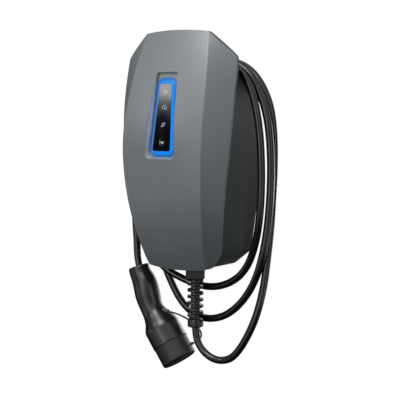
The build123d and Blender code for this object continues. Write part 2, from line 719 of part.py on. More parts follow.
def make_display_board():
    depth = TUB_DEPTH + BOARD_THICK
    board = on_display(recess_outline(), depth, BOARD_THICK)
    for x, v in stake_places():
        board -= on_display(Pos(x, v) * Circle(STAKE_R + HOLE_FIT), depth + PAST, BOARD_THICK + 2 * PAST)
    return board


def make_cover_gasket():
    ring = along_y(outline(GASKET_INSET), 0, FAR_Y) - along_y(outline(GASKET_INSET + GASKET_WIDTH), 0, FAR_Y)
    return ring & (before_parting(GASKET_THICK) - before_parting())


def board_half():
    """Half width of the main board, which clears the housing where the case is narrowest."""
    return side_half(BOARD_BOTTOM) - HOUSING_INSET - HOUSING_WALL - BOARD_EDGE_GAP


def board_hole_places():
    x = board_half() - BOARD_HOLE_INSET
    heights = (BOARD_TOP - BOARD_HOLE_INSET, BOARD_BOTTOM + BOARD_HOLE_INSET)
    return [(side * x, z) for side in (1, -1) for z in heights]


def standoff_places():
    """Posts under the main board and under the ends of the earth bar."""
    ends = earth_screw_x()[:: EARTH_SCREW_COUNT - 1]
    return board_hole_places() + [(x, EARTH_BAR_Z) for x in ends]


def make_rear_housing():
    """A deep lower box with an arched top, and a shallow pan that carries on up in front of the cable."""
    pan = along_y(outline(PAN_INSET), PAN_BACK_Y, FAR_Y)
    pan += along_y(outline(HOUSING_INSET), PAN_BACK_Y, FAR_Y) & before_parting(GASKET_THICK + HOUSING_LIP)
    deep = along_y(saddle_outline(), HOUSING_BACK_Y, FAR_Y)
    pan_hollow = along_y(outline(PAN_INSET + HOUSING_WALL), PAN_BACK_Y - HOUSING_WALL, FAR_Y - PAST)
    deep_hollow = along_y(saddle_outline(HOUSING_WALL), HOUSING_FLOOR_Y, FAR_Y - PAST)
    body = pan + deep - pan_hollow - deep_hollow
    body += rod_z(0, OUTLET_Y, GLAND_SEAT_R, OUTLET_FACE_Z, OUTLET_INNER_Z)
    for x, z in standoff_places():
        body += rod_y(x, z, STANDOFF_R, HOUSING_FLOOR_Y, BOARD_BACK_Y)
    for x, z, back_y in cover_screw_places():
        body += rod_y(x, z, TUNNEL_R, back_y, FAR_Y)
    body -= before_parting(GASKET_THICK)

    outside = HOUSING_BACK_Y + PAST
    inside = HOUSING_FLOOR_Y - PAST
    for x, z, back_y in cover_screw_places():
        seat = screw_seat_y(z)
        body -= rod_y(x, z, TUNNEL_BORE_R, back_y + PAST, seat + TUNNEL_WEB)
        body -= rod_y(x, z, COVER_SCREW_R + HOLE_FIT, back_y + PAST, seat - PAST)
    for x, z in standoff_places():
        depth = BOARD_SCREW_BITE + BOARD_SCREW_SPACE
        body -= rod_y(x, z, BOARD_SCREW_R + SCREW_FIT, BOARD_BACK_Y + depth, BOARD_BACK_Y - PAST)
    slot_top = HOOK_Z + BRACKET_THICK + SCREW_FIT
    slot = Pos(0, slot_top - HOOK_SLOT_HEIGHT / 2) * Rectangle(HOOK_WIDTH + 2 * HOOK_FIT, HOOK_SLOT_HEIGHT)
    for side in (1, -1):
        body -= along_y(Pos(side * HOOK_X, 0) * slot, outside, inside)
    body -= rod_y(0, LOCK_SCREW_Z, LOCK_SCREW_R + HOLE_FIT, outside, inside)
    body -= rod_y(*GROMMET_PLACE, GROMMET_R, outside, inside)
    return body - rod_z(0, OUTLET_Y, GLAND_R + HOLE_FIT, OUTLET_FACE_Z - PAST, OUTLET_INNER_Z + PAST)


def make_cover_screws():
    screws = []
    for x, z, _ in cover_screw_places():
        head_y = screw_seat_y(z) + TUNNEL_WEB
        head = rod_y(x, z, COVER_SCREW_HEAD_R, head_y + COVER_SCREW_HEAD, head_y)
        screws.append(head + rod_y(x, z, COVER_SCREW_R, head_y, parting_y(z) - COVER_SCREW_BITE))
    return screws


def make_main_board():
    height = BOARD_TOP - BOARD_BOTTOM
    sketch = RectangleRounded(2 * board_half(), height, BOARD_R)
    board = along_y(Pos(0, BOARD_BOTTOM + height / 2) * sketch, BOARD_BACK_Y, BOARD_FRONT_Y)
    for x, z in board_hole_places():
        board -= rod_y(x, z, BOARD_SCREW_R + HOLE_FIT, BOARD_BACK_Y + PAST, BOARD_FRONT_Y - PAST)
    return board


def board_screw(x, z, face_y):
    """A pan-head screw whose head sits on a face of a board or bar."""
    head = rod_y(x, z, BOARD_SCREW_HEAD_R, face_y, face_y - BOARD_SCREW_HEAD)
    return head + rod_y(x, z, BOARD_SCREW_R, BOARD_BACK_Y + BOARD_SCREW_BITE, face_y)


def make_board_screws():
    return [board_screw(x, z, BOARD_FRONT_Y) for x, z in board_hole_places()]


def make_power_relays():
    return [box_on_board(place, RELAY_SIZE) for place in RELAY_PLACES]


def make_current_sensor():
    x, rise = SENSOR_PLACE
    z = BOARD_BOTTOM + rise
    front = BOARD_FRONT_Y - SENSOR_HEIGHT
    ring = rod_y(x, z, SENSOR_R, BOARD_FRONT_Y, front)
    ring -= rod_y(x, z, SENSOR_BORE_R, BOARD_FRONT_Y + PAST, front - PAST)
    return fillet(ring.faces().sort_by(Axis.Y)[0].edges(), SENSOR_ROUND)


def make_supply_module():
    return box_on_board(SUPPLY_MODULE_PLACE, SUPPLY_MODULE_SIZE)


def make_control_module():
    return box_on_board(CONTROL_MODULE_PLACE, CONTROL_MODULE_SIZE)


def terminal_x(middle_x, poles):
    return [middle_x + TERMINAL_PITCH * (k - (poles - 1) / 2) for k in range(poles)]


def make_terminal_block(middle_x, poles):
    """A row of clamps, open below for the wires and in front for the screwdriver."""
    size = (TERMINAL_PITCH * poles, TERMINAL_DEPTH, TERMINAL_HEIGHT)
    block = box_on_board((middle_x, TERMINAL_RISE), size)
    front = BOARD_FRONT_Y - TERMINAL_DEPTH
    low = TERMINAL_Z - TERMINAL_HEIGHT / 2
    entry_y = BOARD_FRONT_Y - TERMINAL_ENTRY_R - TERMINAL_ENTRY_FLOOR
    for x in terminal_x(middle_x, poles):
        block -= rod_y(x, TERMINAL_Z, TERMINAL_WELL_R, front + TERMINAL_WELL_DEPTH, front - PAST)
        block -= rod_z(x, entry_y, TERMINAL_ENTRY_R, low - PAST, low + TERMINAL_ENTRY_DEPTH)
    return block


def make_terminal_screws():
    floor = BOARD_FRONT_Y - TERMINAL_DEPTH + TERMINAL_WELL_DEPTH
    top = floor - TERMINAL_SCREW_LENGTH
    slot_sketch = Rectangle(2 * TERMINAL_WELL_R, TERMINAL_SLOT_WIDTH)
    places = terminal_x(SUPPLY_TERMINAL_X, SUPPLY_POLES) + terminal_x(OUTPUT_TERMINAL_X, OUTPUT_POLES)
    screws = []
    for x in places:
        screw = rod_y(x, TERMINAL_Z, TERMINAL_SCREW_R, floor, top)
        slot = along_y(Pos(x, TERMINAL_Z) * slot_sketch, top + TERMINAL_SLOT_DEPTH, top - PAST)
        screws.append(screw - slot)
    return screws


def earth_screw_x():
    span = EARTH_BAR_SIZE[0] - 2 * EARTH_SCREW_INSET
    return [span * (k / (EARTH_SCREW_COUNT - 1) - 0.5) for k in range(EARTH_SCREW_COUNT)]


def make_earth_bar():
    across, deep, tall = EARTH_BAR_SIZE
    front = BOARD_BACK_Y - deep
    bar = along_y(Pos(0, EARTH_BAR_Z) * RectangleRounded(across, tall, EARTH_BAR_R), BOARD_BACK_Y, front)
    for x in earth_screw_x():
        bar -= rod_y(x, EARTH_BAR_Z, BOARD_SCREW_R + HOLE_FIT, BOARD_BACK_Y + PAST, front - PAST)
    return bar


def make_earth_screws():
    face_y = BOARD_BACK_Y - EARTH_BAR_SIZE[1]
    screws = []
    for k, x in enumerate(earth_screw_x()):
        if k in (0, EARTH_SCREW_COUNT - 1):
            screws.append(board_screw(x, EARTH_BAR_Z, face_y))
        else:
            head = rod_y(x, EARTH_BAR_Z, BOARD_SCREW_HEAD_R, face_y, face_y - BOARD_SCREW_HEAD)
            screws.append(head + rod_y(x, EARTH_BAR_Z, BOARD_SCREW_R, BOARD_BACK_Y, face_y))
    return screws


def make_wall_bracket():
    """Folded steel plate with two upward hooks that carry the housing."""
    plate = along_y(RectangleRounded(BRACKET_WIDTH, BRACKET_HEIGHT, BRACKET_R), 0, -BRACKET_THICK)
    lip_back = HOUSING_FLOOR_Y - HOOK_FIT
    lip_front = lip_back - BRACKET_THICK
    shelf = Rectangle(HOOK_WIDTH, BRACKET_THICK, align=(Align.CENTER, Align.MIN))
    lip = Rectangle(HOOK_WIDTH, BRACKET_THICK + HOOK_LIP, align=(Align.CENTER, Align.MIN))
    for side in (1, -1):
        place = Pos(side * HOOK_X, HOOK_Z)
        plate += along_y(place * shelf, -BRACKET_THICK, lip_front)
        plate += along_y(place * lip, lip_back, lip_front)
    for x in (BOLT_SPACING_X / 2, -BOLT_SPACING_X / 2):
        for z in (BOLT_SPACING_Z / 2, -BOLT_SPACING_Z / 2):
            plate -= rod_y(x, z, BOLT_HOLE_R, PAST, -BRACKET_THICK - PAST)
    return plate - rod_y(0, LOCK_SCREW_Z, LOCK_SCREW_R + SCREW_FIT, PAST, -BRACKET_THICK - PAST)


def make_lock_screw():
    head = rod_y(0, LOCK_SCREW_Z, LOCK_SCREW_HEAD_R, HOUSING_FLOOR_Y, HOUSING_FLOOR_Y - LOCK_SCREW_HEAD)
    return head + rod_y(0, LOCK_SCREW_Z, LOCK_SCREW_R, 0, HOUSING_FLOOR_Y)


def make_supply_grommet():
    """A rubber bush in the back wall, with a lip on its inner side and a thin membrane."""
    inner = HOUSING_FLOOR_Y - GROMMET_LIP
    body = rod_y(*GROMMET_PLACE, GROMMET_R - HOLE_FIT, HOUSING_BACK_Y, inner)
    body += rod_y(*GROMMET_PLACE, GROMMET_R + GROMMET_LIP, HOUSING_FLOOR_Y, inner)
    return body - rod_y(*GROMMET_PLACE, GROMMET_BORE_R, HOUSING_BACK_Y + PAST, inner + GROMMET_MEMBRANE)


def make_gland_seal():
    ring = rod_z(0, OUTLET_Y, GLAND_SEAL_R, GLAND_FLANGE_Z, OUTLET_FACE_Z)
    return ring - rod_z(0, OUTLET_Y, GLAND_R + HOLE_FIT, GLAND_FLANGE_Z - PAST, OUTLET_FACE_Z + PAST)


def make_gland_body():
    high = OUTLET_FACE_Z + GLAND_INNER_LENGTH
    body = rod_z(0, OUTLET_Y, GLAND_R, RELIEF_TOP_Z, high)
    body += hexagon_z(0, OUTLET_Y, GLAND_FLANGE_AF, RELIEF_TOP_Z, GLAND_FLANGE_Z)
    return body - rod_z(0, OUTLET_Y, GLAND_R - GLAND_WALL, RELIEF_TOP_Z - PAST, high + PAST)


def make_gland_lock_nut():
    high = OUTLET_INNER_Z + LOCK_NUT_HEIGHT
    nut = hexagon_z(0, OUTLET_Y, LOCK_NUT_AF, OUTLET_INNER_Z, high)
    return nut - rod_z(0, OUTLET_Y, GLAND_R + SCREW_FIT, OUTLET_INNER_Z - PAST, high + PAST)


def make_gland_nut():
    nut = hexagon_z(0, OUTLET_Y, GLAND_NUT_AF, RELIEF_RIBS_Z, RELIEF_TOP_Z)
    nut = chamfer(nut.faces().sort_by(Axis.Z)[0].edges(), GLAND_NUT_CHAMFER)
    return nut - rod_z(0, OUTLET_Y, RELIEF_CORE_R + HOLE_FIT, RELIEF_RIBS_Z - PAST, RELIEF_TOP_Z + PAST)


def make_strain_relief():
    """Core with two rows of half-ring ribs, staggered by half a pitch, and an end collar."""
    low = RELIEF_END_Z - RELIEF_COLLAR_LENGTH
    relief = rod_z(0, 0, RELIEF_CORE_R, RELIEF_END_Z - PAST, RELIEF_TOP_Z)
    collar = rod_z(0, 0, RELIEF_COLLAR_R, low, RELIEF_END_Z)
    relief += fillet(collar.edges().filter_by(GeomType.CIRCLE), RELIEF_COLLAR_ROUND)
    profile = Rectangle(RELIEF_RIB_R, RELIEF_RIB_THICK, align=(Align.MIN, Align.MAX))
    profile = fillet(profile.vertices().group_by(Axis.X)[-1], RELIEF_RIB_ROUND)
    rib = revolve(Plane.XZ * profile, Axis.Z, revolution_arc=180)
    for row, turn in enumerate((RELIEF_TURN - 90, RELIEF_TURN + 90)):
        for k in range(RELIEF_RIBS_A_SIDE):
            top = RELIEF_RIBS_Z - RELIEF_RIB_PITCH * (k + row / 2)
            relief += Pos(0, 0, top) * Rot(0, 0, turn) * rib
    relief -= rod_z(0, 0, CABLE_R + CABLE_FIT, low - PAST, low + CABLE_SOCKET)
    return Pos(0, OUTLET_Y, 0) * relief


def cord_tube(points, radius):
    """A tube along straight runs joined by arcs as large as the runs allow."""
    stops = [Vector(*p) for p in points]
    runs = [b - a for a, b in zip(stops, stops[1:])]
    radii = []
    for before, after in zip(runs, runs[1:]):
        half_turn = radians(before.get_angle(after)) / 2
        radii.append(ARC_SHARE * min(before.length, after.length) / tan(half_turn))
    path = FilletPolyline(*stops, radius=radii)
    start = Plane(origin=stops[0], z_dir=runs[0])
    tube = sweep(start * Circle(radius), path=path)
    share = tube.volume / (pi * radius**2 * path.length)
    print(f"cord of {path.length:.0f} mm, volume over section times length {share:.4f}")
    print("arc radii", [round(r) for r in radii])
    return tube


def make_charging_cable():
    first = (0, OUTLET_Y, RELIEF_END_Z - RELIEF_COLLAR_LENGTH + CABLE_SOCKET)
    entry = handle.origin - handle.z_dir * CABLE_ENTRY
    last = handle.origin + handle.z_dir * CABLE_SOCKET
    return cord_tube([first, *CABLE_ROUTE, entry, last], CABLE_R)


def make_cap_tether():
    return cord_tube(TETHER_ROUTE, TETHER_R)


def make_connector_handle():
    """Grip, bent neck and shouldered nose, lofted through circles square to their bent axis."""
    bend = Plane(origin=neck_point, x_dir=handle.x_dir + nose.x_dir, z_dir=handle.z_dir + nose.z_dir)
    rings = [
        handle * Circle(HANDLE_TOP_R),
        handle.offset(HANDLE_UPPER_AT) * Circle(HANDLE_UPPER_R),
        handle.offset(HANDLE_GRIP_AT) * Circle(HANDLE_GRIP_R),
        bend * Circle(NECK_R),
        nose.offset(-NECK_END_AT) * Circle(NECK_END_R),
        nose.offset(-NOSE_SHOULDER_AT) * Circle(NOSE_SHOULDER_R),
        nose.offset(-NOSE_COLLAR) * Circle(NOSE_R),
    ]
    body = loft(rings)
    body = fillet(body.faces().sort_by(Axis.Z)[-1].edges(), HANDLE_TOP_ROUND)
    body += on_nose(Circle(NOSE_R), -NOSE_COLLAR, 0)
    ear_start = Vector(*TETHER_ROUTE[0])
    ear_dir = (ear_start - Vector(*TETHER_ROUTE[1])).normalized()
    body += extrude(Plane(origin=ear_start, z_dir=ear_dir) * Circle(TETHER_EAR_R), amount=TETHER_EAR_LENGTH)
    seat = plug_outline(SHROUD_R + SHROUD_FIT, SHROUD_FLAT + SHROUD_FIT)
    body -= on_nose(seat, -SHROUD_SEAT, PAST)
    return body - extrude(handle.offset(CABLE_SOCKET) * Circle(CABLE_R + CABLE_FIT), amount=-SPARE)


def plug_outline(radius, flat):
    """A circle with a flat on the side that faces up, in the nose's plane."""
    return Circle(radius) & Pos(flat, 0) * Rectangle(4 * radius, 4 * radius, align=(Align.MAX, Align.CENTER))


def on_nose(sketch, start, end):
    """A sketch drawn out along the plug's axis, between two distances from the nose's front face."""
    return extrude(nose.offset(start) * sketch, amount=end - start)


def make_connector_shroud():
    shell = on_nose(plug_outline(SHROUD_R, SHROUD_FLAT), -SHROUD_SEAT, SHROUD_LENGTH)
    inside = plug_outline(SHROUD_R - SHROUD_WALL, SHROUD_FLAT - SHROUD_WALL)
    return shell - on_nose(inside, SHROUD_FLOOR, SHROUD_LENGTH + PAST)


def contact_places():
    """Place, sleeve radius and bore radius of each contact: one in the middle, the rest on a circle."""
    contacts = [(Pos(0, 0), POWER_SLEEVE_R, POWER_BORE_R)]
    rows = (POWER_PIN_ANGLES, POWER_SLEEVE_R, POWER_BORE_R), (SIGNAL_PIN_ANGLES, SIGNAL_SLEEVE_R, SIGNAL_BORE_R)
    for angles, radius, bore in rows:
        contacts += [(Rot(0, 0, angle) * Pos(PIN_CIRCLE_R, 0), radius, bore) for angle in angles]
    return contacts


def make_contact_carrier():
    carrier = on_nose(plug_outline(CARRIER_R, CARRIER_FLAT), SHROUD_FLOOR, CARRIER_FACE)
    for place, radius, _ in contact_places():
        carrier -= on_nose(place * Circle(radius + HOLE_FIT), SLEEVE_FOOT, CARRIER_FACE + PAST)
    return carrier


def make_contact_sleeves():
    end = SLEEVE_FOOT + SLEEVE_LENGTH
    sleeves = []
    for place, radius, bore in contact_places():
        sleeve = on_nose(place * Circle(radius), SLEEVE_FOOT, end)
        sleeves.append(sleeve - on_nose(place * Circle(bore), SLEEVE_FOOT + SLEEVE_FLOOR, end + PAST))
    return sleeves


def make_connector_seal():
    inner = plug_outline(SHROUD_R + HOLE_FIT, SHROUD_FLAT + HOLE_FIT)
    return on_nose(Circle(SHROUD_R + SEAL_WIDTH) - inner, 0, SEAL_THICK)


def make_dust_cap():
    cup = on_nose(Circle(CAP_R), CAP_START, CAP_START + CAP_LENGTH)
    end = cup.faces().sort_by(lambda f: f.center().dot(nose.z_dir))[-1]
    cup = fillet(end.edges(), CAP_END_R)
    boss_start = Vector(*TETHER_ROUTE[-1])
    boss_dir = (boss_start - Vector(*TETHER_ROUTE[-2])).normalized()
    boss_plane = Plane(origin=boss_start, z_dir=boss_dir)
    cup += extrude(boss_plane * Circle(TETHER_BOSS_R), amount=TETHER_BOSS_LENGTH)
    return cup - on_nose(Circle(SHROUD_R + CAP_FIT), CAP_START - PAST, CAP_START + CAP_LENGTH - CAP_FLOOR)


PIECES = {
    "front_cover": make_front_cover,
    "light_ring": make_light_ring,
    "display_window": make_display_window,
    "display_module": make_display_module,
    "display_board": make_display_board,
    "cover_gasket": make_cover_gasket,
    "rear_housing": make_rear_housing,
    "cover_screws": make_cover_screws,
    "main_board": make_main_board,
    "board_screws": make_board_screws,
    "power_relays": make_power_relays,
    "residual_current_sensor": make_current_sensor,
    "power_supply_module": make_supply_module,
    "control_module": make_control_module,
    "supply_terminal_block": lambda: make_terminal_block(SUPPLY_TERMINAL_X, SUPPLY_POLES),
    "output_terminal_block": lambda: make_terminal_block(OUTPUT_TERMINAL_X, OUTPUT_POLES),
    "terminal_screws": make_terminal_screws,
    "earth_bar": make_earth_bar,
    "earth_screws": make_earth_screws,
    "wall_bracket": make_wall_bracket,
    "bracket_lock_screw": make_lock_screw,
    "supply_grommet": make_supply_grommet,
    "gland_seal": make_gland_seal,
    "gland_body": make_gland_body,
    "gland_lock_nut": make_gland_lock_nut,
    "gland_nut": make_gland_nut,
    "strain_relief": make_strain_relief,
    "charging_cable": make_charging_cable,
    "connector_handle": make_connector_handle,
    "connector_shroud": make_connector_shroud,
    "contact_carrier": make_contact_carrier,
    "contact_sleeves": make_contact_sleeves,
    "connector_seal": make_connector_seal,
    "dust_cap": make_dust_cap,
    "cap_tether": make_cap_tether,
}

for name, make in PIECES.items():
    piece = make()
    solids = piece if isinstance(piece, list) else [piece]
    solids = [solid for shape in solids for solid in shape.solids()]
    shape = solids[0] if len(solids) == 1 else Compound(children=solids)
    export_step(shape, f"parts/{name}.step")
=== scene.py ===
import math

import bpy
from mathutils import Matrix, Vector


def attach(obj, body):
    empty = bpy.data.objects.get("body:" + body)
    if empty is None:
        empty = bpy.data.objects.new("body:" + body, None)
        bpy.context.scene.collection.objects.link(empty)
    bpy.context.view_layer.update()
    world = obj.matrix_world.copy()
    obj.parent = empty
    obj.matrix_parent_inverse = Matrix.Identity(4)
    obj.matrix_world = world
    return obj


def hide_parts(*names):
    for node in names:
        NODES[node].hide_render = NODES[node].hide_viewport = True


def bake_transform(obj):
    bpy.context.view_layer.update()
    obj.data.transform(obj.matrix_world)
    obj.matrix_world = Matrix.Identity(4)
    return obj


bl_info = {
    "name": "Wall charger with a tethered cable",
    "version": (1, 0, 0),
    "blender": (4, 5, 0),
    "location": "3D View > Sidebar > Wall charger",
    "description": "Shapes the case, lays the cable, draws the signs and gives every piece its finish",
    "category": "Object",
}

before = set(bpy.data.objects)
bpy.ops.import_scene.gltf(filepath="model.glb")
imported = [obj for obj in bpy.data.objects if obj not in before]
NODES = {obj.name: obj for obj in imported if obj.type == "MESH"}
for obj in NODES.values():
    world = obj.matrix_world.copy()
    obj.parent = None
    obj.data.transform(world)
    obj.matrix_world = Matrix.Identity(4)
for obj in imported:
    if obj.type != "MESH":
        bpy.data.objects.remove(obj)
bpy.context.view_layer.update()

CASE_BODY = "wallbox"

# The cable's route in metres: down and round from the strain relief, and over the saddle three times
CABLE_ROUTE = (
    (0.0000, -0.0285, -0.3130),
    (0.0115, -0.0285, -0.3345),
    (0.0315, -0.0282, -0.3475),
    (0.0555, -0.0276, -0.3490),
    (0.0770, -0.0265, -0.3380),
    (0.1000, -0.0245, -0.3030),
    (0.1160, -0.0210, -0.2640),
    (0.1250, -0.0160, -0.2200),
    (0.1285, -0.0120, -0.1780),
    (0.1335, -0.0100, -0.1250),
    (0.1375, -0.0100, -0.0720),
    (0.1400, -0.0100, -0.0200),
    (0.1390, -0.0100, 0.0280),
    (0.1330, -0.0100, 0.0710),
    (0.1170, -0.0100, 0.1050),
    (0.0970, -0.0100, 0.1285),
    (0.0730, -0.0100, 0.1415),
    (0.0430, -0.0100, 0.1470),
    (0.0100, -0.0100, 0.1485),
    (-0.0250, -0.0100, 0.1480),
    (-0.0600, -0.0100, 0.1460),
    (-0.0875, -0.0100, 0.1365),
    (-0.1075, -0.0100, 0.1170),
    (-0.1170, -0.0100, 0.0900),
    (-0.1200, -0.0100, 0.0540),
    (-0.1200, -0.0100, 0.0140),
    (-0.1185, -0.0100, -0.0280),
    (-0.1155, -0.0100, -0.0800),
    (-0.1085, -0.0100, -0.1240),
    (-0.0970, -0.0096, -0.1610),
    (-0.0855, -0.0093, -0.1870),
    (-0.0745, -0.0090, -0.2090),
    (-0.0635, -0.0086, -0.2310),
    (-0.0495, -0.0082, -0.2540),
    (-0.0335, -0.0078, -0.2710),
    (-0.0160, -0.0075, -0.2815),
    (0.0030, -0.0074, -0.2860),
    (0.0240, -0.0076, -0.2845),
    (0.0475, -0.0084, -0.2760),
    (0.0700, -0.0105, -0.2600),
    (0.0905, -0.0145, -0.2390),
    (0.1085, -0.0195, -0.2140),
    (0.1220, -0.0235, -0.1850),
    (0.1325, -0.0245, -0.1450),
    (0.1390, -0.0245, -0.0960),
    (0.1420, -0.0245, -0.0440),
    (0.1410, -0.0245, 0.0060),
    (0.1360, -0.0244, 0.0480),
    (0.1260, -0.0242, 0.0820),
    (0.1110, -0.0240, 0.1120),
    (0.0940, -0.0240, 0.1310),
    (0.0710, -0.0240, 0.1425),
    (0.0410, -0.0240, 0.1474),
    (0.0080, -0.0240, 0.1488),
    (-0.0270, -0.0240, 0.1482),
    (-0.0610, -0.0240, 0.1460),
    (-0.0880, -0.0240, 0.1365),
    (-0.1075, -0.0240, 0.1170),
    (-0.1170, -0.0240, 0.0900),
    (-0.1200, -0.0240, 0.0540),
    (-0.1205, -0.0240, 0.0140),
    (-0.1195, -0.0240, -0.0280),
    (-0.1170, -0.0240, -0.0800),
    (-0.1115, -0.0240, -0.1240),
    (-0.1020, -0.0240, -0.1600),
    (-0.0860, -0.0240, -0.1900),
    (-0.0620, -0.0225, -0.2080),
    (-0.0370, -0.0150, -0.2205),
    (-0.0120, -0.0086, -0.2290),
    (0.0130, -0.0074, -0.2315),
    (0.0370, -0.0080, -0.2275),
    (0.0600, -0.0100, -0.2180),
    (0.0820, -0.0135, -0.2025),
    (0.1015, -0.0190, -0.1775),
    (0.1160, -0.0252, -0.1435),
    (0.1260, -0.0315, -0.1040),
    (0.1315, -0.0362, -0.0580),
    (0.1320, -0.0380, -0.0100),
    (0.1285, -0.0380, 0.0360),
    (0.1195, -0.0380, 0.0810),
    (0.1070, -0.0380, 0.1120),
    (0.0910, -0.0380, 0.1310),
    (0.0690, -0.0380, 0.1428),
    (0.0390, -0.0380, 0.1476),
    (0.0060, -0.0380, 0.1490),
    (-0.0280, -0.0380, 0.1484),
    (-0.0615, -0.0380, 0.1460),
    (-0.0880, -0.0380, 0.1365),
    (-0.1070, -0.0380, 0.1170),
    (-0.1165, -0.0380, 0.0900),
    (-0.1195, -0.0380, 0.0540),
    (-0.1200, -0.0380, 0.0140),
    (-0.1195, -0.0384, -0.0280),
    (-0.1190, -0.0386, -0.0800),
    (-0.1178, -0.0384, -0.1240),
    (-0.1160, -0.0372, -0.1560),
)

# The cap's strap in metres, from the ear on the plug's nose to the cap
STRAP_ROUTE = (
    (-0.0500, -0.0360, -0.2760),
    (-0.0360, -0.0335, -0.2780),
    (-0.0225, -0.0270, -0.2845),
    (-0.0105, -0.0190, -0.2935),
    (-0.0015, -0.0140, -0.3040),
    (0.0025, -0.0128, -0.3150),
    (-0.0025, -0.0150, -0.3250),
    (-0.0116, -0.0195, -0.3290),
)

# Where the cable leaves its strain relief, and where it goes into the grip and ends there, in metres
CABLE_START = (0.0, -0.0285, -0.2893)
CABLE_ENTRY = (-0.1160, -0.0360, -0.1933)
CABLE_END = (-0.1094, -0.0360, -0.2101)

# The display's leaning plane: its middle, its directions out and up, and how far the ring slopes back from it
DISPLAY_MIDDLE = Vector((0.0, -0.1179, 0.0545))
DISPLAY_LEAN = math.radians(7.74)
DISPLAY_OUT = Vector((0.0, -math.cos(DISPLAY_LEAN), math.sin(DISPLAY_LEAN)))
DISPLAY_UP = Vector((0.0, math.sin(DISPLAY_LEAN), math.cos(DISPLAY_LEAN)))
RING_DEPTH = 0.0055

# Shares of the ring's brightness at its foot and at its rim, and the share of its depth where it is full
GLOW_FOOT = 0.45
GLOW_RIM = 1.04
GLOW_FULL = 0.25

# How far up the window each sign stands from the middle, and its gap to the glass
SIGN_HEIGHTS = {"settings": 0.0395, "gauge": 0.0150, "plug": -0.0116, "start": -0.0397}
SIGN_GAP = 0.00002

# The rear housing's back edge flares behind one depth, from a height down to the foot,
# beginning at one width and in full from another out
FLARE_TOP_Z = 0.075
FLARE_FRONT_Y = -0.030
FLARE_LEAST_X = 0.045
FLARE_FULL_X = 0.070
FOOT_Z = -0.158

# Axis of the cable outlet, and the radii inside which the nut and the strain relief keep their size
OUTLET_X = 0.0
OUTLET_Y = -0.0285
NUT_CORE = 0.0095
RELIEF_CORE = 0.0078

# Points of a solid's copy that are this close are one, and faces that turn less than this are smooth
MERGE_DISTANCE = 0.00001
MOULDED_TURN = math.radians(30)
STRAP_TURN = math.radians(40)

# A mould's sharpest edge is broken by about this much, which draws a fine light line along it
EDGE_MM = 0.7

# Sizes of the finishes' patterns. Frost and tracks are finer in fact, and are drawn coarser so that they show
FLOW_MARK_MM = 45
FROST_MM = 0.8
SMEAR_MM = 18
PRINT_MOTTLE_MM = 1.5
TRACK_MM = 12

# How far up the window the ring's light is taken to come from, and how far in front of the window
GLOW_HEIGHTS = (-0.042, -0.014, 0.014, 0.042)
GLOW_STAND = 0.004
GLOW_RADIUS = 0.003

# Lamps and flags stand round this point and face it
STAGE_MIDDLE = Vector((0.0, -0.06, -0.02))

# Dark cards: place, as degrees to the right of the front, degrees up and metres, then width and height
FLAGS = {
    "left_flag": ((-42, 1.5, 1.4), (1.1, 0.66)),
    "low_flag": ((10, -87, 0.8), (2.6, 2.6)),
    "far_left_flag": ((-100, 8, 1.2), (1.5, 2.0)),
    "camera_flag": ((47, -3, 2.3), (1.2, 1.3)),
    "right_flag": ((112, 4, 1.2), (0.7, 1.2)),
    "top_flag": ((172, 42, 1.5), (1.5, 0.8)),
}
# Soft boxes: the property with its power, then place and size as for the cards
LAMPS = {
    "key_lamp": ("key_power", (-4, 52, 1.7), (1.0, 0.75)),
    "front_strip": ("front_power", (-2, 4, 1.7), (0.16, 1.4)),
    "side_strip": ("side_power", (69, 2, 1.6), (0.08, 1.2)),
    "back_lamp": ("back_power", (178, 0, 1.8), (1.2, 0.6)),
    "window_lamp": ("window_power", (-37, 22.2, 1.5), (0.32, 0.32)),
}
FLOOR_SIZE = 12.0
SENSOR_MM = 36.0


def linear(hex_colour):
    """A colour written as sRGB hex, in the linear values that shaders use."""
    channels = [int(hex_colour[k : k + 2], 16) / 255 for k in (1, 3, 5)]
    return [c / 12.92 if c <= 0.04045 else ((c + 0.055) / 1.055) ** 2.4 for c in channels] + [1.0]


def per_metre(size_mm):
    """How many features of a size in millimetres fit in a metre, which is a pattern's scale."""
    return 1000.0 / size_mm


def colour_prop(name, description, hex_colour):
    """A colour that a user may change, written as sRGB hex."""
    return bpy.props.FloatVectorProperty(
        name=name, description=description, subtype="COLOR", size=4, min=0.0, max=1.0,
        default=linear(hex_colour),
    )


class CaseFinish(bpy.types.PropertyGroup):
    """Colours of the case and of its lit display, and the flare of its back edge."""

    cover: colour_prop("Cover", "Moulded front cover", "#6A6F72")
    housing: colour_prop("Housing", "Moulded rear housing", "#484E51")
    glow: colour_prop("Glow", "Light of the ring round the window", "#0C8DF8")
    glass: colour_prop("Window", "Tinted window over the display", "#030304")
    sign: colour_prop("Signs", "Lit signs behind the window", "#D5D9DA")
    glow_strength: bpy.props.FloatProperty(
        name="Glow strength", description="How bright the light ring is", default=0.85, min=0.0
    )
    flare: bpy.props.FloatProperty(
        name="Flare", description="How far the housing's back edge stands out at the foot", default=0.0145,
        unit="LENGTH",
    )


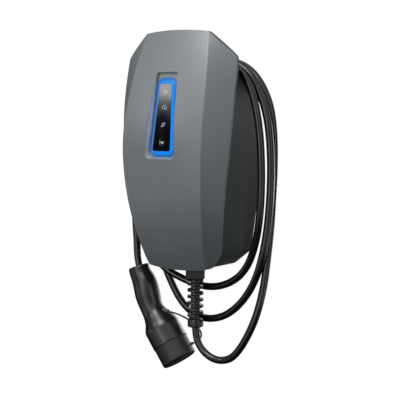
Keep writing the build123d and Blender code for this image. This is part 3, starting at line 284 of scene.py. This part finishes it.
class CableFinish(bpy.types.PropertyGroup):
    """Sizes and colours of the cable and of what is on its end."""

    diameter: bpy.props.FloatProperty(
        name="Cable diameter", description="Outer diameter of the jacket", default=0.0125, unit="LENGTH"
    )
    length: bpy.props.FloatProperty(
        name="Cable length", description="From the strain relief to the grip", default=3.376, unit="LENGTH"
    )
    strap: bpy.props.FloatProperty(
        name="Strap diameter", description="Thickness of the cap's strap", default=0.003, unit="LENGTH"
    )
    strap_length: bpy.props.FloatProperty(
        name="Strap length", description="From the ear on the nose to the cap", default=0.095, unit="LENGTH"
    )
    jacket: colour_prop("Jacket", "Cable jacket and strain relief", "#131415")
    grip: colour_prop("Grip", "Moulded grip of the plug", "#141516")
    cap: colour_prop("Cap", "Soft cap and its strap", "#121314")
    nut_growth: bpy.props.FloatProperty(
        name="Nut growth", description="How much further the nut's flats stand out from its core",
        default=1.2, min=1.0,
    )
    rib_growth: bpy.props.FloatProperty(
        name="Rib growth", description="How much further the relief's ribs stand out from its core",
        default=1.42, min=1.0,
    )


class SignSizes(bpy.types.PropertyGroup):
    """Sizes of the four lit signs."""

    size: bpy.props.FloatProperty(
        name="Sign size", description="Height of one sign", default=0.0094, unit="LENGTH"
    )
    stroke: bpy.props.FloatProperty(
        name="Stroke", description="Width of a sign's lines", default=0.0008, unit="LENGTH"
    )
    lift: bpy.props.FloatProperty(
        name="Lift", description="Thickness of the printed sign on the window", default=0.00012, unit="LENGTH"
    )


class StudioSetup(bpy.types.PropertyGroup):
    """Camera, lamps and floor."""

    camera_place: bpy.props.FloatVectorProperty(
        name="Camera", description="Where the camera stands", subtype="TRANSLATION", unit="LENGTH",
        default=(0.9520, -1.4276, 0.0805),
    )
    camera_aim: bpy.props.FloatVectorProperty(
        name="Aim", description="Point that the camera looks at", subtype="TRANSLATION", unit="LENGTH",
        default=(0.0243, -0.0510, -0.0803),
    )
    lens: bpy.props.FloatProperty(
        name="Lens", description="Focal length on a 36 mm sensor", default=92.07, unit="CAMERA"
    )
    floor_drop: bpy.props.FloatProperty(
        name="Floor", description="How far the floor lies below the charger's origin", default=1.2,
        unit="LENGTH",
    )
    floor_lift: bpy.props.FloatProperty(
        name="Floor lift", description="How much the floor is lifted towards white", default=0.9,
        min=0.0, max=1.0,
    )
    key_power: bpy.props.FloatProperty(
        name="Key lamp", description="Large soft box above the front", default=24.0, unit="POWER"
    )
    front_power: bpy.props.FloatProperty(
        name="Front strip", description="Tall narrow soft box straight in front", default=4.5, unit="POWER"
    )
    side_power: bpy.props.FloatProperty(
        name="Side strip", description="Tall narrow soft box on the right", default=1.5, unit="POWER"
    )
    back_power: bpy.props.FloatProperty(
        name="Back lamp", description="Large soft box behind", default=7.0, unit="POWER"
    )
    window_power: bpy.props.FloatProperty(
        name="Window lamp", description="Small soft box whose reflection lies on the window", default=2.4,
        unit="POWER",
    )
    glow_power: bpy.props.FloatProperty(
        name="Recess glow", description="Light of the ring in the recess round it", default=0.02, unit="POWER"
    )
    ambient: bpy.props.FloatProperty(
        name="Ambient", description="Even light from all round", default=0.15, min=0.0
    )


def add_node(tree, kind, sockets=None, **settings):
    """Adds a node, sets its options, and gives each named socket a value or a link."""
    added = tree.nodes.new(kind)
    for name, value in settings.items():
        setattr(added, name, value)
    for name, value in (sockets or {}).items():
        if isinstance(value, bpy.types.NodeSocket):
            tree.links.new(value, added.inputs[name])
        else:
            added.inputs[name].default_value = value
    return added


def start_material(name, sockets):
    """A new material with one principled shader, whose sockets get the given values."""
    made = bpy.data.materials.new(name)
    made.use_nodes = True
    tree = made.node_tree
    tree.nodes.clear()
    shader = add_node(tree, "ShaderNodeBsdfPrincipled", sockets)
    add_node(tree, "ShaderNodeOutputMaterial", {"Surface": shader.outputs["BSDF"]})
    return made, tree, shader


def moulded(name, colour, roughness, grain_mm, grain_depth_mm, ior=1.5, gloss=0.5):
    """A moulded plastic or rubber: faint clouds in its colour, and the texture of its mould.

    The clouds are as wide as the flow of the melt leaves them. The grain breaks the highlight up, so that
    the surface looks satin and not polished.
    """
    made, tree, shader = start_material(name, {"IOR": ior, "Specular IOR Level": gloss})
    place = add_node(tree, "ShaderNodeTexCoord").outputs["Object"]
    cloud = add_node(
        tree, "ShaderNodeTexNoise", {"Vector": place, "Scale": per_metre(FLOW_MARK_MM), "Detail": 2.0}
    )
    shade = add_node(
        tree, "ShaderNodeMapRange",
        {"Value": cloud.outputs["Fac"], "From Min": 0.3, "From Max": 0.7, "To Min": 0.965, "To Max": 1.035},
    )
    tint = add_node(tree, "ShaderNodeHueSaturation", {"Value": shade.outputs["Result"], "Color": colour})
    grain = add_node(
        tree, "ShaderNodeTexNoise",
        {"Vector": place, "Scale": per_metre(grain_mm), "Detail": 3.0, "Roughness": 0.6},
    )
    matt = add_node(
        tree, "ShaderNodeMapRange",
        {
            "Value": grain.outputs["Fac"], "From Min": 0.3, "From Max": 0.7,
            "To Min": roughness - 0.05, "To Max": roughness + 0.05,
        },
    )
    edge = add_node(tree, "ShaderNodeBevel", {"Radius": EDGE_MM / 1000}, samples=6)
    bump = add_node(
        tree, "ShaderNodeBump",
        {
            "Height": grain.outputs["Fac"], "Strength": 0.5, "Distance": grain_depth_mm / 1000,
            "Normal": edge.outputs["Normal"],
        },
    )
    tree.links.new(tint.outputs["Color"], shader.inputs["Base Color"])
    tree.links.new(matt.outputs["Result"], shader.inputs["Roughness"])
    tree.links.new(bump.outputs["Normal"], shader.inputs["Normal"])
    return made


def light_guide(colour, strength):
    """Frosted polycarbonate, lit from behind: it glows most next to the window, and its skin is matt."""
    made, tree, shader = start_material(
        "frosted_polycarbonate",
        {"Base Color": linear("#06182F"), "Emission Color": colour, "IOR": 1.58, "Specular IOR Level": 0.2},
    )
    place = add_node(tree, "ShaderNodeTexCoord").outputs["Object"]
    # The wall slopes back from the window to the recess's floor, further from the light behind the window
    offset = add_node(tree, "ShaderNodeVectorMath", {0: place, 1: DISPLAY_MIDDLE}, operation="SUBTRACT")
    depth = add_node(
        tree, "ShaderNodeVectorMath", {0: offset.outputs["Vector"], 1: DISPLAY_OUT}, operation="DOT_PRODUCT"
    )
    glow = add_node(
        tree, "ShaderNodeMapRange",
        {
            "Value": depth.outputs["Value"], "From Min": -RING_DEPTH, "From Max": -RING_DEPTH * GLOW_FULL,
            "To Min": strength * GLOW_FOOT, "To Max": strength * GLOW_RIM,
        },
    )
    tree.links.new(glow.outputs["Result"], shader.inputs["Emission Strength"])
    frost = add_node(
        tree, "ShaderNodeTexNoise", {"Vector": place, "Scale": per_metre(FROST_MM), "Detail": 2.0}
    )
    matt = add_node(
        tree, "ShaderNodeMapRange", {"Value": frost.outputs["Fac"], "To Min": 0.42, "To Max": 0.58}
    )
    tree.links.new(matt.outputs["Result"], shader.inputs["Roughness"])
    return made


def polished_acrylic(colour):
    """Tinted acrylic, polished: nearly black, a sharp reflection and the faintest smear of handling."""
    made, tree, shader = start_material("tinted_acrylic", {"Base Color": colour, "IOR": 1.49})
    place = add_node(tree, "ShaderNodeTexCoord").outputs["Object"]
    smear = add_node(
        tree, "ShaderNodeTexNoise", {"Vector": place, "Scale": per_metre(SMEAR_MM), "Detail": 3.0}
    )
    gloss = add_node(
        tree, "ShaderNodeMapRange",
        {"Value": smear.outputs["Fac"], "From Min": 0.35, "From Max": 0.75, "To Min": 0.07, "To Max": 0.11},
    )
    tree.links.new(gloss.outputs["Result"], shader.inputs["Roughness"])
    return made


def lit_ink(colour):
    """Translucent white ink lit from behind: a soft even light, a little mottled by the print."""
    made, tree, shader = start_material(
        "translucent_ink", {"Base Color": linear("#1A1B1C"), "Roughness": 0.4, "Emission Color": colour}
    )
    place = add_node(tree, "ShaderNodeTexCoord").outputs["Object"]
    mottle = add_node(tree, "ShaderNodeTexNoise", {"Vector": place, "Scale": per_metre(PRINT_MOTTLE_MM)})
    light = add_node(
        tree, "ShaderNodeMapRange", {"Value": mottle.outputs["Fac"], "To Min": 0.42, "To Max": 0.6}
    )
    tree.links.new(light.outputs["Result"], shader.inputs["Emission Strength"])
    return made


def plated_metal(name, colour, roughness, flake_mm):
    """A plated or galvanised metal: crystals of the coating differ in tone and sheen."""
    made, tree, shader = start_material(name, {"Metallic": 1.0})
    place = add_node(tree, "ShaderNodeTexCoord").outputs["Object"]
    flakes = add_node(tree, "ShaderNodeTexVoronoi", {"Vector": place, "Scale": per_metre(flake_mm)})
    crystal = add_node(tree, "ShaderNodeSeparateColor", {"Color": flakes.outputs["Color"]}).outputs["Red"]
    shade = add_node(tree, "ShaderNodeMapRange", {"Value": crystal, "To Min": 0.86, "To Max": 1.08})
    tint = add_node(tree, "ShaderNodeHueSaturation", {"Value": shade.outputs["Result"], "Color": colour})
    sheen = add_node(
        tree, "ShaderNodeMapRange", {"Value": crystal, "To Min": roughness - 0.06, "To Max": roughness + 0.08}
    )
    tree.links.new(tint.outputs["Color"], shader.inputs["Base Color"])
    tree.links.new(sheen.outputs["Result"], shader.inputs["Roughness"])
    return made


def solder_mask():
    """Green lacquer over copper tracks: the tracks stand up a little and show lighter through it."""
    made, tree, shader = start_material("solder_mask_on_glass_epoxy", {"IOR": 1.52, "Roughness": 0.28})
    place = add_node(tree, "ShaderNodeTexCoord").outputs["Object"]
    upright = add_node(tree, "ShaderNodeMapping", {"Vector": place, "Rotation": (math.pi / 2, 0.0, 0.0)})
    tracks = add_node(
        tree, "ShaderNodeTexBrick",
        {
            "Vector": upright.outputs["Vector"], "Scale": per_metre(TRACK_MM),
            "Color1": linear("#14553A"), "Color2": linear("#10472F"), "Mortar": linear("#2C7A55"),
            "Mortar Size": 0.05, "Mortar Smooth": 0.2,
        },
        offset=0.37,
    )
    bump = add_node(
        tree, "ShaderNodeBump", {"Height": tracks.outputs["Fac"], "Strength": 0.4, "Distance": 0.0002}
    )
    tree.links.new(tracks.outputs["Color"], shader.inputs["Base Color"])
    tree.links.new(bump.outputs["Normal"], shader.inputs["Normal"])
    return made


def dress(material, *names):
    """Gives a finish to solids or pieces of the charger, in place of the one that they came with."""
    for name in names:
        piece = NODES[name] if name in NODES else bpy.data.objects[name]
        piece.data.materials.clear()
        piece.data.materials.append(material)


def select_only(*objects):
    """Selects these objects and nothing else, the first as the active one."""
    bpy.ops.object.select_all(action="DESELECT")
    for piece in objects:
        piece.select_set(True)
    bpy.context.view_layer.objects.active = objects[0]


def route_curve(name, route):
    """A smooth curve with the points of a route as its control points."""
    curve = bpy.data.curves.new(name, "CURVE")
    curve.dimensions = "3D"
    spline = curve.splines.new("NURBS")
    spline.points.add(len(route) - 1)
    for point, place in zip(spline.points, route):
        point.co = (*place, 1.0)
    spline.order_u = 3
    spline.use_endpoint_u = True
    spline.resolution_u = 10
    piece = bpy.data.objects.new(name, curve)
    bpy.context.scene.collection.objects.link(piece)
    return piece


class CHARGER_OT_lay_cable(bpy.types.Operator):
    """Lay the cable from the strain relief, over the saddle three times and into the grip"""

    bl_idname = "charger.lay_cable"
    bl_label = "Lay the cable"

    def execute(self, context):
        sizes = context.scene.charger_cable
        piece = route_curve("cable_jacket", [CABLE_START, *CABLE_ROUTE, CABLE_ENTRY, CABLE_END])
        piece.data.bevel_depth = sizes.diameter / 2
        piece.data.bevel_resolution = 6
        piece.data.use_fill_caps = True
        # Extruded elastomer: drawn smooth by the die, so its sheen is longer than on moulded pieces
        piece.data.materials.append(
            moulded("extruded_elastomer", sizes.jacket, roughness=0.23, grain_mm=2.0, grain_depth_mm=0.02)
        )
        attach(piece, CASE_BODY)
        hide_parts("charging_cable")
        return {"FINISHED"}


class CHARGER_OT_lay_strap(bpy.types.Operator):
    """Lay the cap's strap from the ear on the plug's nose to the cap"""

    bl_idname = "charger.lay_strap"
    bl_label = "Lay the cap's strap"

    def execute(self, context):
        sizes = context.scene.charger_cable
        guide = route_curve("cap_strap_guide", STRAP_ROUTE)
        graph = context.evaluated_depsgraph_get()
        line = bpy.data.meshes.new_from_object(guide.evaluated_get(graph))
        guide.data.bevel_depth = sizes.strap / 2
        guide.data.bevel_resolution = 4
        guide.data.use_fill_caps = True
        graph = context.evaluated_depsgraph_get()
        tube = bpy.data.meshes.new_from_object(guide.evaluated_get(graph))
        bpy.data.objects.remove(guide)
        piece = bpy.data.objects.new("cap_strap", tube)
        context.scene.collection.objects.link(piece)
        select_only(piece)
        bpy.ops.object.shade_smooth_by_angle(angle=STRAP_TURN)
        tube.materials.clear()
        tube.materials.append(bpy.data.materials["soft_elastomer"])
        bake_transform(piece)
        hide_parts("cap_tether")
        return {"FINISHED"}


def flare(place, most):
    """Where a point of the housing's back edge goes: out at the sides, more towards the foot."""
    if place.y < FLARE_FRONT_Y:
        return place
    across = abs(place.x)
    low = min(max((FLARE_TOP_Z - place.z) / (FLARE_TOP_Z - FOOT_Z), 0.0), 1.0)
    outer = min(max((across - FLARE_LEAST_X) / (FLARE_FULL_X - FLARE_LEAST_X), 0.0), 1.0)
    reach = across + most * outer * (1.0 - (1.0 - low) ** 2)
    return Vector((math.copysign(reach, place.x), place.y, place.z))


def swell(place, core, growth):
    """Where a point of the cable outlet goes: what stands out from its core stands out further."""
    middle = Vector((OUTLET_X, OUTLET_Y, place.z))
    radius = (place - middle).length
    if radius <= core:
        return place
    return middle + (place - middle) * (core + (radius - core) * growth) / radius


def reshaped(node, name, move):
    """A copy of a CAD node as a piece of its own, merged, with each point moved."""
    piece = bpy.data.objects.new(name, NODES[node].data.copy())
    bpy.context.scene.collection.objects.link(piece)
    select_only(piece)
    bpy.ops.mesh.customdata_custom_splitnormals_clear()
    bpy.ops.object.mode_set(mode="EDIT")
    bpy.ops.mesh.select_all(action="SELECT")
    bpy.ops.mesh.remove_doubles(threshold=MERGE_DISTANCE)
    bpy.ops.object.mode_set(mode="OBJECT")
    for vertex in piece.data.vertices:
        vertex.co = move(vertex.co)
    bpy.ops.object.shade_smooth_by_angle(angle=MOULDED_TURN)
    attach(piece, CASE_BODY)
    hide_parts(node)
    return piece


class CHARGER_OT_shape_housing(bpy.types.Operator):
    """Flare the back edge of the rear housing"""

    bl_idname = "charger.shape_housing"
    bl_label = "Shape the rear housing"

    def execute(self, context):
        sizes = context.scene.charger_case
        piece = reshaped("rear_housing", "housing_shell", lambda place: flare(place, sizes.flare))
        return {"FINISHED"}


class CHARGER_OT_shape_outlet(bpy.types.Operator):
    """Make the gland's nut and the ribs of the strain relief stand out further"""

    bl_idname = "charger.shape_outlet"
    bl_label = "Shape the cable outlet"

    def execute(self, context):
        sizes = context.scene.charger_cable
        nut = reshaped("gland_nut", "outlet_nut", lambda place: swell(place, NUT_CORE, sizes.nut_growth))
        relief = reshaped(
            "strain_relief", "relief_sleeve", lambda place: swell(place, RELIEF_CORE, sizes.rib_growth)
        )
        return {"FINISHED"}


class CHARGER_OT_finish_case(bpy.types.Operator):
    """Give the cover, the rear housing and their fixings their finish"""

    bl_idname = "charger.finish_case"
    bl_label = "Finish the case"

    def execute(self, context):
        colours = context.scene.charger_case
        # ABS from a spark-eroded mould: satin, its grain of 0.2 mm drawn at 1.2 mm so that it shows
        cover = moulded(
            "abs_cover", colours.cover, roughness=0.38, grain_mm=1.2, grain_depth_mm=0.05, ior=1.53
        )
        dress(cover, "front_cover")
        # The same with a deeper grain, so the housing is duller than the cover
        housing = moulded(
            "abs_housing", colours.housing, roughness=0.52, grain_mm=1.2, grain_depth_mm=0.08,
            ior=1.53, gloss=0.25,
        )
        dress(housing, "housing_shell")
        # EPDM: matt and almost black
        rubber = moulded("epdm_rubber", linear("#1C1C1C"), roughness=0.7, grain_mm=0.9, grain_depth_mm=0.05)
        dress(rubber, "cover_gasket", "supply_grommet", "gland_seal")
        # Zinc: fine bright crystals on the screws, and broad grey ones where the sheet was dipped
        zinc = plated_metal("zinc_plated_steel", linear("#B9BBBD"), roughness=0.3, flake_mm=0.6)
        dress(zinc, "cover_screws", "bracket_lock_screw")
        dipped = plated_metal("galvanised_steel", linear("#A9ADB0"), roughness=0.38, flake_mm=7.0)
        dress(dipped, "wall_bracket")
        return {"FINISHED"}


class CHARGER_OT_finish_display(bpy.types.Operator):
    """Give the light ring, the window and the parts behind them their finish"""

    bl_idname = "charger.finish_display"
    bl_label = "Finish the display"

    def execute(self, context):
        colours = context.scene.charger_case
        dress(light_guide(colours.glow, colours.glow_strength), "light_ring")
        dress(polished_acrylic(colours.glass), "display_window")
        # Potting resin: black, smooth and a little dull
        resin = moulded("epoxy_resin", linear("#202124"), roughness=0.4, grain_mm=0.6, grain_depth_mm=0.02)
        dress(resin, "display_module")
        dress(solder_mask(), "display_board", "main_board")
        return {"FINISHED"}


class CHARGER_OT_finish_electrics(bpy.types.Operator):
    """Give the boards' components, the terminals and the earth bar their finish"""

    bl_idname = "charger.finish_electrics"
    bl_label = "Finish the electrics"

    def execute(self, context):
        dress(bpy.data.materials["zinc_plated_steel"], "board_screws", "terminal_screws", "earth_screws")
        dress(bpy.data.materials["epoxy_resin"], "residual_current_sensor", "power_supply_module")
        # Polyester and polyamide: dark grey relay cases with a sheen, and pale, duller terminal blocks
        case = moulded(
            "polyester_relay_case", linear("#3A3D42"), roughness=0.4, grain_mm=0.8, grain_depth_mm=0.03
        )
        dress(case, "power_relays")
        block = moulded(
            "polyamide_terminal", linear("#8D9294"), roughness=0.5, grain_mm=0.8, grain_depth_mm=0.03
        )
        dress(block, "supply_terminal_block", "output_terminal_block")
        # Tinned sheet and bare brass: bright metal, one white and one yellow
        dress(plated_metal("tinned_sheet", linear("#C9C8C2"), roughness=0.26, flake_mm=1.5), "control_module")
        dress(plated_metal("bare_brass", linear("#C9A658"), roughness=0.3, flake_mm=1.0), "earth_bar")
        return {"FINISHED"}


class CHARGER_OT_finish_outlet(bpy.types.Operator):
    """Give the cable gland and the ribbed strain relief their finish"""

    bl_idname = "charger.finish_outlet"
    bl_label = "Finish the cable outlet"

    def execute(self, context):
        sizes = context.scene.charger_cable
        # Nylon from a polished mould: deep black flats with a faint sheen
        nylon = moulded(
            "nylon_gland", sizes.grip, roughness=0.24, grain_mm=1.0, grain_depth_mm=0.02, ior=1.53, gloss=0.3
        )
        dress(nylon, "gland_body", "gland_lock_nut", "outlet_nut")
        # Elastomer: as smooth, but with brighter highlights on its ribs
        relief = moulded("elastomer_relief", sizes.jacket, roughness=0.25, grain_mm=1.4, grain_depth_mm=0.03)
        dress(relief, "relief_sleeve")
        return {"FINISHED"}


class CHARGER_OT_finish_plug(bpy.types.Operator):
    """Give the grip, the cap and the contacts their finish"""

    bl_idname = "charger.finish_plug"
    bl_label = "Finish the plug"

    def execute(self, context):
        sizes = context.scene.charger_cable
        # Glass-filled nylon: satin black with long soft highlights, its grain drawn coarse so that it shows
        grip = moulded(
            "glass_filled_nylon", sizes.grip, roughness=0.32, grain_mm=1.3, grain_depth_mm=0.04, ior=1.53
        )
        dress(grip, "connector_handle")
        # Soft elastomer: a duller black than the grip beside it
        cap = moulded("soft_elastomer", sizes.cap, roughness=0.5, grain_mm=1.1, grain_depth_mm=0.05)
        dress(cap, "dust_cap")
        # Polyester: the insulator round the contacts, a shade lighter than the grip
        insulator = moulded(
            "polyester_insulator", linear("#232426"), roughness=0.42, grain_mm=0.9, grain_depth_mm=0.03
        )
        dress(insulator, "connector_shroud", "contact_carrier")
        dress(bpy.data.materials["epdm_rubber"], "connector_seal")
        # Silvered brass: a warm white metal
        silvered = plated_metal("silvered_brass", linear("#D8D3C6"), roughness=0.24, flake_mm=0.8)
        dress(silvered, "contact_sleeves")
        return {"FINISHED"}


def flat_ring(outer, stroke):
    """A flat ring round the origin."""
    bpy.ops.mesh.primitive_circle_add(vertices=40, radius=outer, fill_type="NGON")
    ring = bpy.context.object
    bpy.ops.object.mode_set(mode="EDIT")
    bpy.ops.mesh.select_all(action="SELECT")
    bpy.ops.mesh.inset(thickness=stroke)
    bpy.ops.mesh.delete(type="FACE")
    bpy.ops.object.mode_set(mode="OBJECT")
    return ring


def flat_bar(x, y, across, tall, turn=0.0):
    """A flat bar with rounded corners."""
    bpy.ops.mesh.primitive_plane_add(size=1.0, location=(x, y, 0.0), rotation=(0.0, 0.0, turn))
    bar = bpy.context.object
    bar.scale = (across, tall, 1.0)
    bpy.ops.object.transform_apply(location=True, rotation=True, scale=True)
    bpy.ops.object.mode_set(mode="EDIT")
    bpy.ops.mesh.select_all(action="SELECT")
    bpy.ops.mesh.bevel(offset=min(across, tall) * 0.3, segments=3, affect="VERTICES")
    bpy.ops.object.mode_set(mode="OBJECT")
    return bar


def flat_dot(x, y, radius, sides=24, turn=0.0):
    """A flat disc, or a polygon with few sides."""
    bpy.ops.mesh.primitive_circle_add(
        vertices=sides, radius=radius, fill_type="NGON", location=(x, y, 0.0), rotation=(0.0, 0.0, turn)
    )
    bpy.ops.object.transform_apply(location=True, rotation=True, scale=True)
    return bpy.context.object


def cut_below(piece, y):
    """Cuts off what lies below a height."""
    select_only(piece)
    bpy.ops.object.mode_set(mode="EDIT")
    bpy.ops.mesh.select_all(action="SELECT")
    bpy.ops.mesh.bisect(plane_co=(0.0, y, 0.0), plane_no=(0.0, -1.0, 0.0), clear_outer=True)
    bpy.ops.object.mode_set(mode="OBJECT")
    return piece


def settings_sign(size, stroke):
    """A cog: a ring, eight teeth and a hub."""
    shapes = [flat_ring(size * 0.36, stroke), flat_dot(0.0, 0.0, size * 0.11)]
    for k in range(8):
        angle = k * math.pi / 4
        reach = size * 0.42
        shapes.append(flat_bar(reach * math.cos(angle), reach * math.sin(angle), size * 0.17, stroke, angle))
    return shapes


def gauge_sign(size, stroke):
    """A dial open at the bottom, with its needle."""
    dial = cut_below(flat_ring(size * 0.48, stroke), -size * 0.24)
    needle = flat_bar(size * 0.12, -size * 0.12, size * 0.46, stroke, -math.pi / 4)
    return [dial, needle, flat_dot(0.0, 0.0, stroke)]


def plug_sign(size, stroke):
    """A plug in outline, turned half up: a round body, two prongs and a lead."""
    turn = math.pi / 4
    out = Vector((math.cos(turn), math.sin(turn)))
    across = Vector((-out.y, out.x))
    shapes = [flat_ring(size * 0.27, stroke)]
    for side in (-1, 1):
        prong = out * size * 0.38 + across * side * size * 0.14
        shapes.append(flat_bar(prong.x, prong.y, size * 0.26, stroke, turn))
    lead = -out * size * 0.4
    shapes.append(flat_bar(lead.x, lead.y, size * 0.28, stroke, turn))
    return shapes


def start_sign(size, stroke):
    """A stop bar and an arrow that points to it."""
    bar = flat_bar(-size * 0.34, 0.0, stroke, size * 0.72)
    arrow = flat_dot(size * 0.1, 0.0, size * 0.3, sides=3, turn=math.pi / 2)
    return [bar, arrow, flat_bar(size * 0.34, 0.0, stroke, size * 0.34)]


class CHARGER_OT_draw_signs(bpy.types.Operator):
    """Draw the four lit signs on the window"""

    bl_idname = "charger.draw_signs"
    bl_label = "Draw the signs"

    def execute(self, context):
        sizes = context.scene.charger_signs
        ink = lit_ink(context.scene.charger_case.sign)
        across = Vector((1.0, 0.0, 0.0))
        turned = Matrix((across, DISPLAY_UP, DISPLAY_OUT)).transposed().to_4x4()
        signs = {"settings": settings_sign, "gauge": gauge_sign, "plug": plug_sign, "start": start_sign}
        for name, draw in signs.items():
            bpy.ops.object.select_all(action="DESELECT")
            shapes = draw(sizes.size, sizes.stroke)
            select_only(*shapes)
            bpy.ops.object.join()
            piece = context.object
            piece.name = f"sign_{name}"
            thicken = piece.modifiers.new("ink", "SOLIDIFY")
            thicken.thickness = sizes.lift
            thicken.offset = 1.0
            bpy.ops.object.modifier_apply(modifier=thicken.name)
            place = DISPLAY_MIDDLE + DISPLAY_UP * SIGN_HEIGHTS[name] + DISPLAY_OUT * SIGN_GAP
            piece.matrix_world = Matrix.Translation(place) @ turned
            bpy.ops.object.transform_apply(location=True, rotation=True, scale=True)
            piece.data.materials.append(ink)
            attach(piece, CASE_BODY)
        return {"FINISHED"}


def around(azimuth, elevation, distance):
    """A place round the middle of the stage: degrees to the right of the front, degrees up, and metres."""
    turn, rise = math.radians(azimuth), math.radians(elevation)
    level = distance * math.cos(rise)
    return STAGE_MIDDLE + Vector((level * math.sin(turn), -level * math.cos(turn), distance * math.sin(rise)))


def seen_directly(tree):
    """1 for what the camera sees, also in a mirror or through glass, and 0 for light on a matt surface."""
    path = add_node(tree, "ShaderNodeLightPath")
    beyond = add_node(
        tree, "ShaderNodeMath", {0: path.outputs["Is Glossy Ray"], 1: path.outputs["Is Transmission Ray"]},
        operation="MAXIMUM",
    )
    seen = add_node(
        tree, "ShaderNodeMath", {0: path.outputs["Is Camera Ray"], 1: beyond.outputs["Value"]},
        operation="MAXIMUM",
    )
    return seen.outputs["Value"]


def add_flag(name, place, size, felt):
    """A dark card beside the charger. Only gloss and glass show it, so that black plastic keeps its depth."""
    bpy.ops.object.select_all(action="DESELECT")
    bpy.ops.mesh.primitive_plane_add(size=1.0, location=place)
    flag = bpy.context.object
    flag.name = name
    flag.rotation_euler = (STAGE_MIDDLE - place).to_track_quat("Z", "Y").to_euler()
    flag.scale = (*size, 1.0)
    flag.data.materials.append(felt)
    flag.visible_camera = False
    flag.visible_diffuse = False
    flag.visible_shadow = False


def add_lamp(name, place, size, power):
    """A soft box that looks at the charger and isn't seen itself."""
    bpy.ops.object.light_add(type="AREA", location=place)
    lamp = bpy.context.object
    lamp.name = name
    lamp.rotation_euler = (STAGE_MIDDLE - place).to_track_quat("-Z", "Y").to_euler()
    lamp.data.shape = "RECTANGLE"
    lamp.data.size, lamp.data.size_y = size
    lamp.data.energy = power
    lamp.visible_camera = False


class CHARGER_OT_set_stage(bpy.types.Operator):
    """Set the camera, the lamps, the floor and the background"""

    bl_idname = "charger.set_stage"
    bl_label = "Set the stage"

    def execute(self, context):
        setup = context.scene.charger_studio
        scene = context.scene
        bpy.ops.object.select_all(action="DESELECT")

        bpy.ops.mesh.primitive_plane_add(size=FLOOR_SIZE, location=(0.0, 0.0, -setup.floor_drop))
        floor = context.object
        floor.name = "studio_floor"
        # Matt pale paint. What the camera sees of it is lifted to white, and the shadow on it stays
        made, tree, shader = start_material(
            "painted_floor",
            {"Roughness": 0.9, "Base Color": linear("#9A9A98"), "Emission Color": linear("#FFFFFF")},
        )
        lift = add_node(
            tree, "ShaderNodeMapRange", {"Value": seen_directly(tree), "To Max": setup.floor_lift}
        )
        tree.links.new(lift.outputs["Result"], shader.inputs["Emission Strength"])
        floor.data.materials.append(made)

        # Felt: black and without sheen
        felt = moulded("black_felt", linear("#060606"), roughness=0.9, grain_mm=3.0, grain_depth_mm=0.3)
        for name, (place, size) in FLAGS.items():
            add_flag(name, around(*place), size, felt)
        for name, (power, place, size) in LAMPS.items():
            add_lamp(name, around(*place), size, getattr(setup, power))

        # The ring's own light in the recess round it
        for height in GLOW_HEIGHTS:
            place = DISPLAY_MIDDLE + DISPLAY_OUT * GLOW_STAND + DISPLAY_UP * height
            bpy.ops.object.light_add(type="POINT", location=place)
            glow = context.object
            glow.name = "ring_glow"
            glow.data.energy = setup.glow_power
            glow.data.color = linear("#E2E6FF")[:3]
            glow.data.shadow_soft_size = GLOW_RADIUS
            glow.visible_camera = False
            glow.visible_glossy = False

        world = bpy.data.worlds.new("studio")
        scene.world = world
        world.use_nodes = True
        tree = world.node_tree
        tree.nodes.clear()
        even = add_node(tree, "ShaderNodeBackground", {"Color": linear("#FFFFFF"), "Strength": setup.ambient})
        white = add_node(tree, "ShaderNodeBackground", {"Color": linear("#FFFFFF"), "Strength": 1.0})
        mixed = add_node(
            tree, "ShaderNodeMixShader",
            {0: seen_directly(tree), 1: even.outputs["Background"], 2: white.outputs["Background"]},
        )
        add_node(tree, "ShaderNodeOutputWorld", {"Surface": mixed.outputs["Shader"]})

        bpy.ops.object.camera_add(location=setup.camera_place)
        camera = context.object
        aim = Vector(setup.camera_aim) - Vector(setup.camera_place)
        camera.rotation_euler = aim.to_track_quat("-Z", "Y").to_euler()
        camera.data.lens = setup.lens
        camera.data.sensor_width = SENSOR_MM
        scene.camera = camera
        scene.view_settings.view_transform = "Standard"
        return {"FINISHED"}


class VIEW3D_PT_charger(bpy.types.Panel):
    """Steps that dress the charger, in order"""

    bl_label = "Wall charger"
    bl_idname = "VIEW3D_PT_charger"
    bl_space_type = "VIEW_3D"
    bl_region_type = "UI"
    bl_category = "Wall charger"

    def draw(self, context):
        column = self.layout.column()
        for step in STEPS:
            column.operator(step.bl_idname)
        for group in GROUPS:
            values = getattr(context.scene, group)
            for name in values.__annotations__:
                column.prop(values, name)


STEPS = (
    CHARGER_OT_shape_housing,
    CHARGER_OT_shape_outlet,
    CHARGER_OT_finish_case,
    CHARGER_OT_finish_display,
    CHARGER_OT_finish_electrics,
    CHARGER_OT_finish_outlet,
    CHARGER_OT_finish_plug,
    CHARGER_OT_lay_cable,
    CHARGER_OT_lay_strap,
    CHARGER_OT_draw_signs,
    CHARGER_OT_set_stage,
)
GROUPS = {
    "charger_case": CaseFinish,
    "charger_cable": CableFinish,
    "charger_signs": SignSizes,
    "charger_studio": StudioSetup,
}


def register():
    for made in (*GROUPS.values(), *STEPS, VIEW3D_PT_charger):
        bpy.utils.register_class(made)
    for name, group in GROUPS.items():
        setattr(bpy.types.Scene, name, bpy.props.PointerProperty(type=group))


def unregister():
    for name in GROUPS:
        delattr(bpy.types.Scene, name)
    for made in reversed((*GROUPS.values(), *STEPS, VIEW3D_PT_charger)):
        bpy.utils.unregister_class(made)


def main():
    register()
    bpy.ops.charger.shape_housing()
    bpy.ops.charger.shape_outlet()
    bpy.ops.charger.finish_case()
    bpy.ops.charger.finish_display()
    bpy.ops.charger.finish_electrics()
    bpy.ops.charger.finish_outlet()
    bpy.ops.charger.finish_plug()
    bpy.ops.charger.lay_cable()
    bpy.ops.charger.lay_strap()
    bpy.ops.charger.draw_signs()
    bpy.ops.charger.set_stage()


if __name__ == "__main__":
    main()
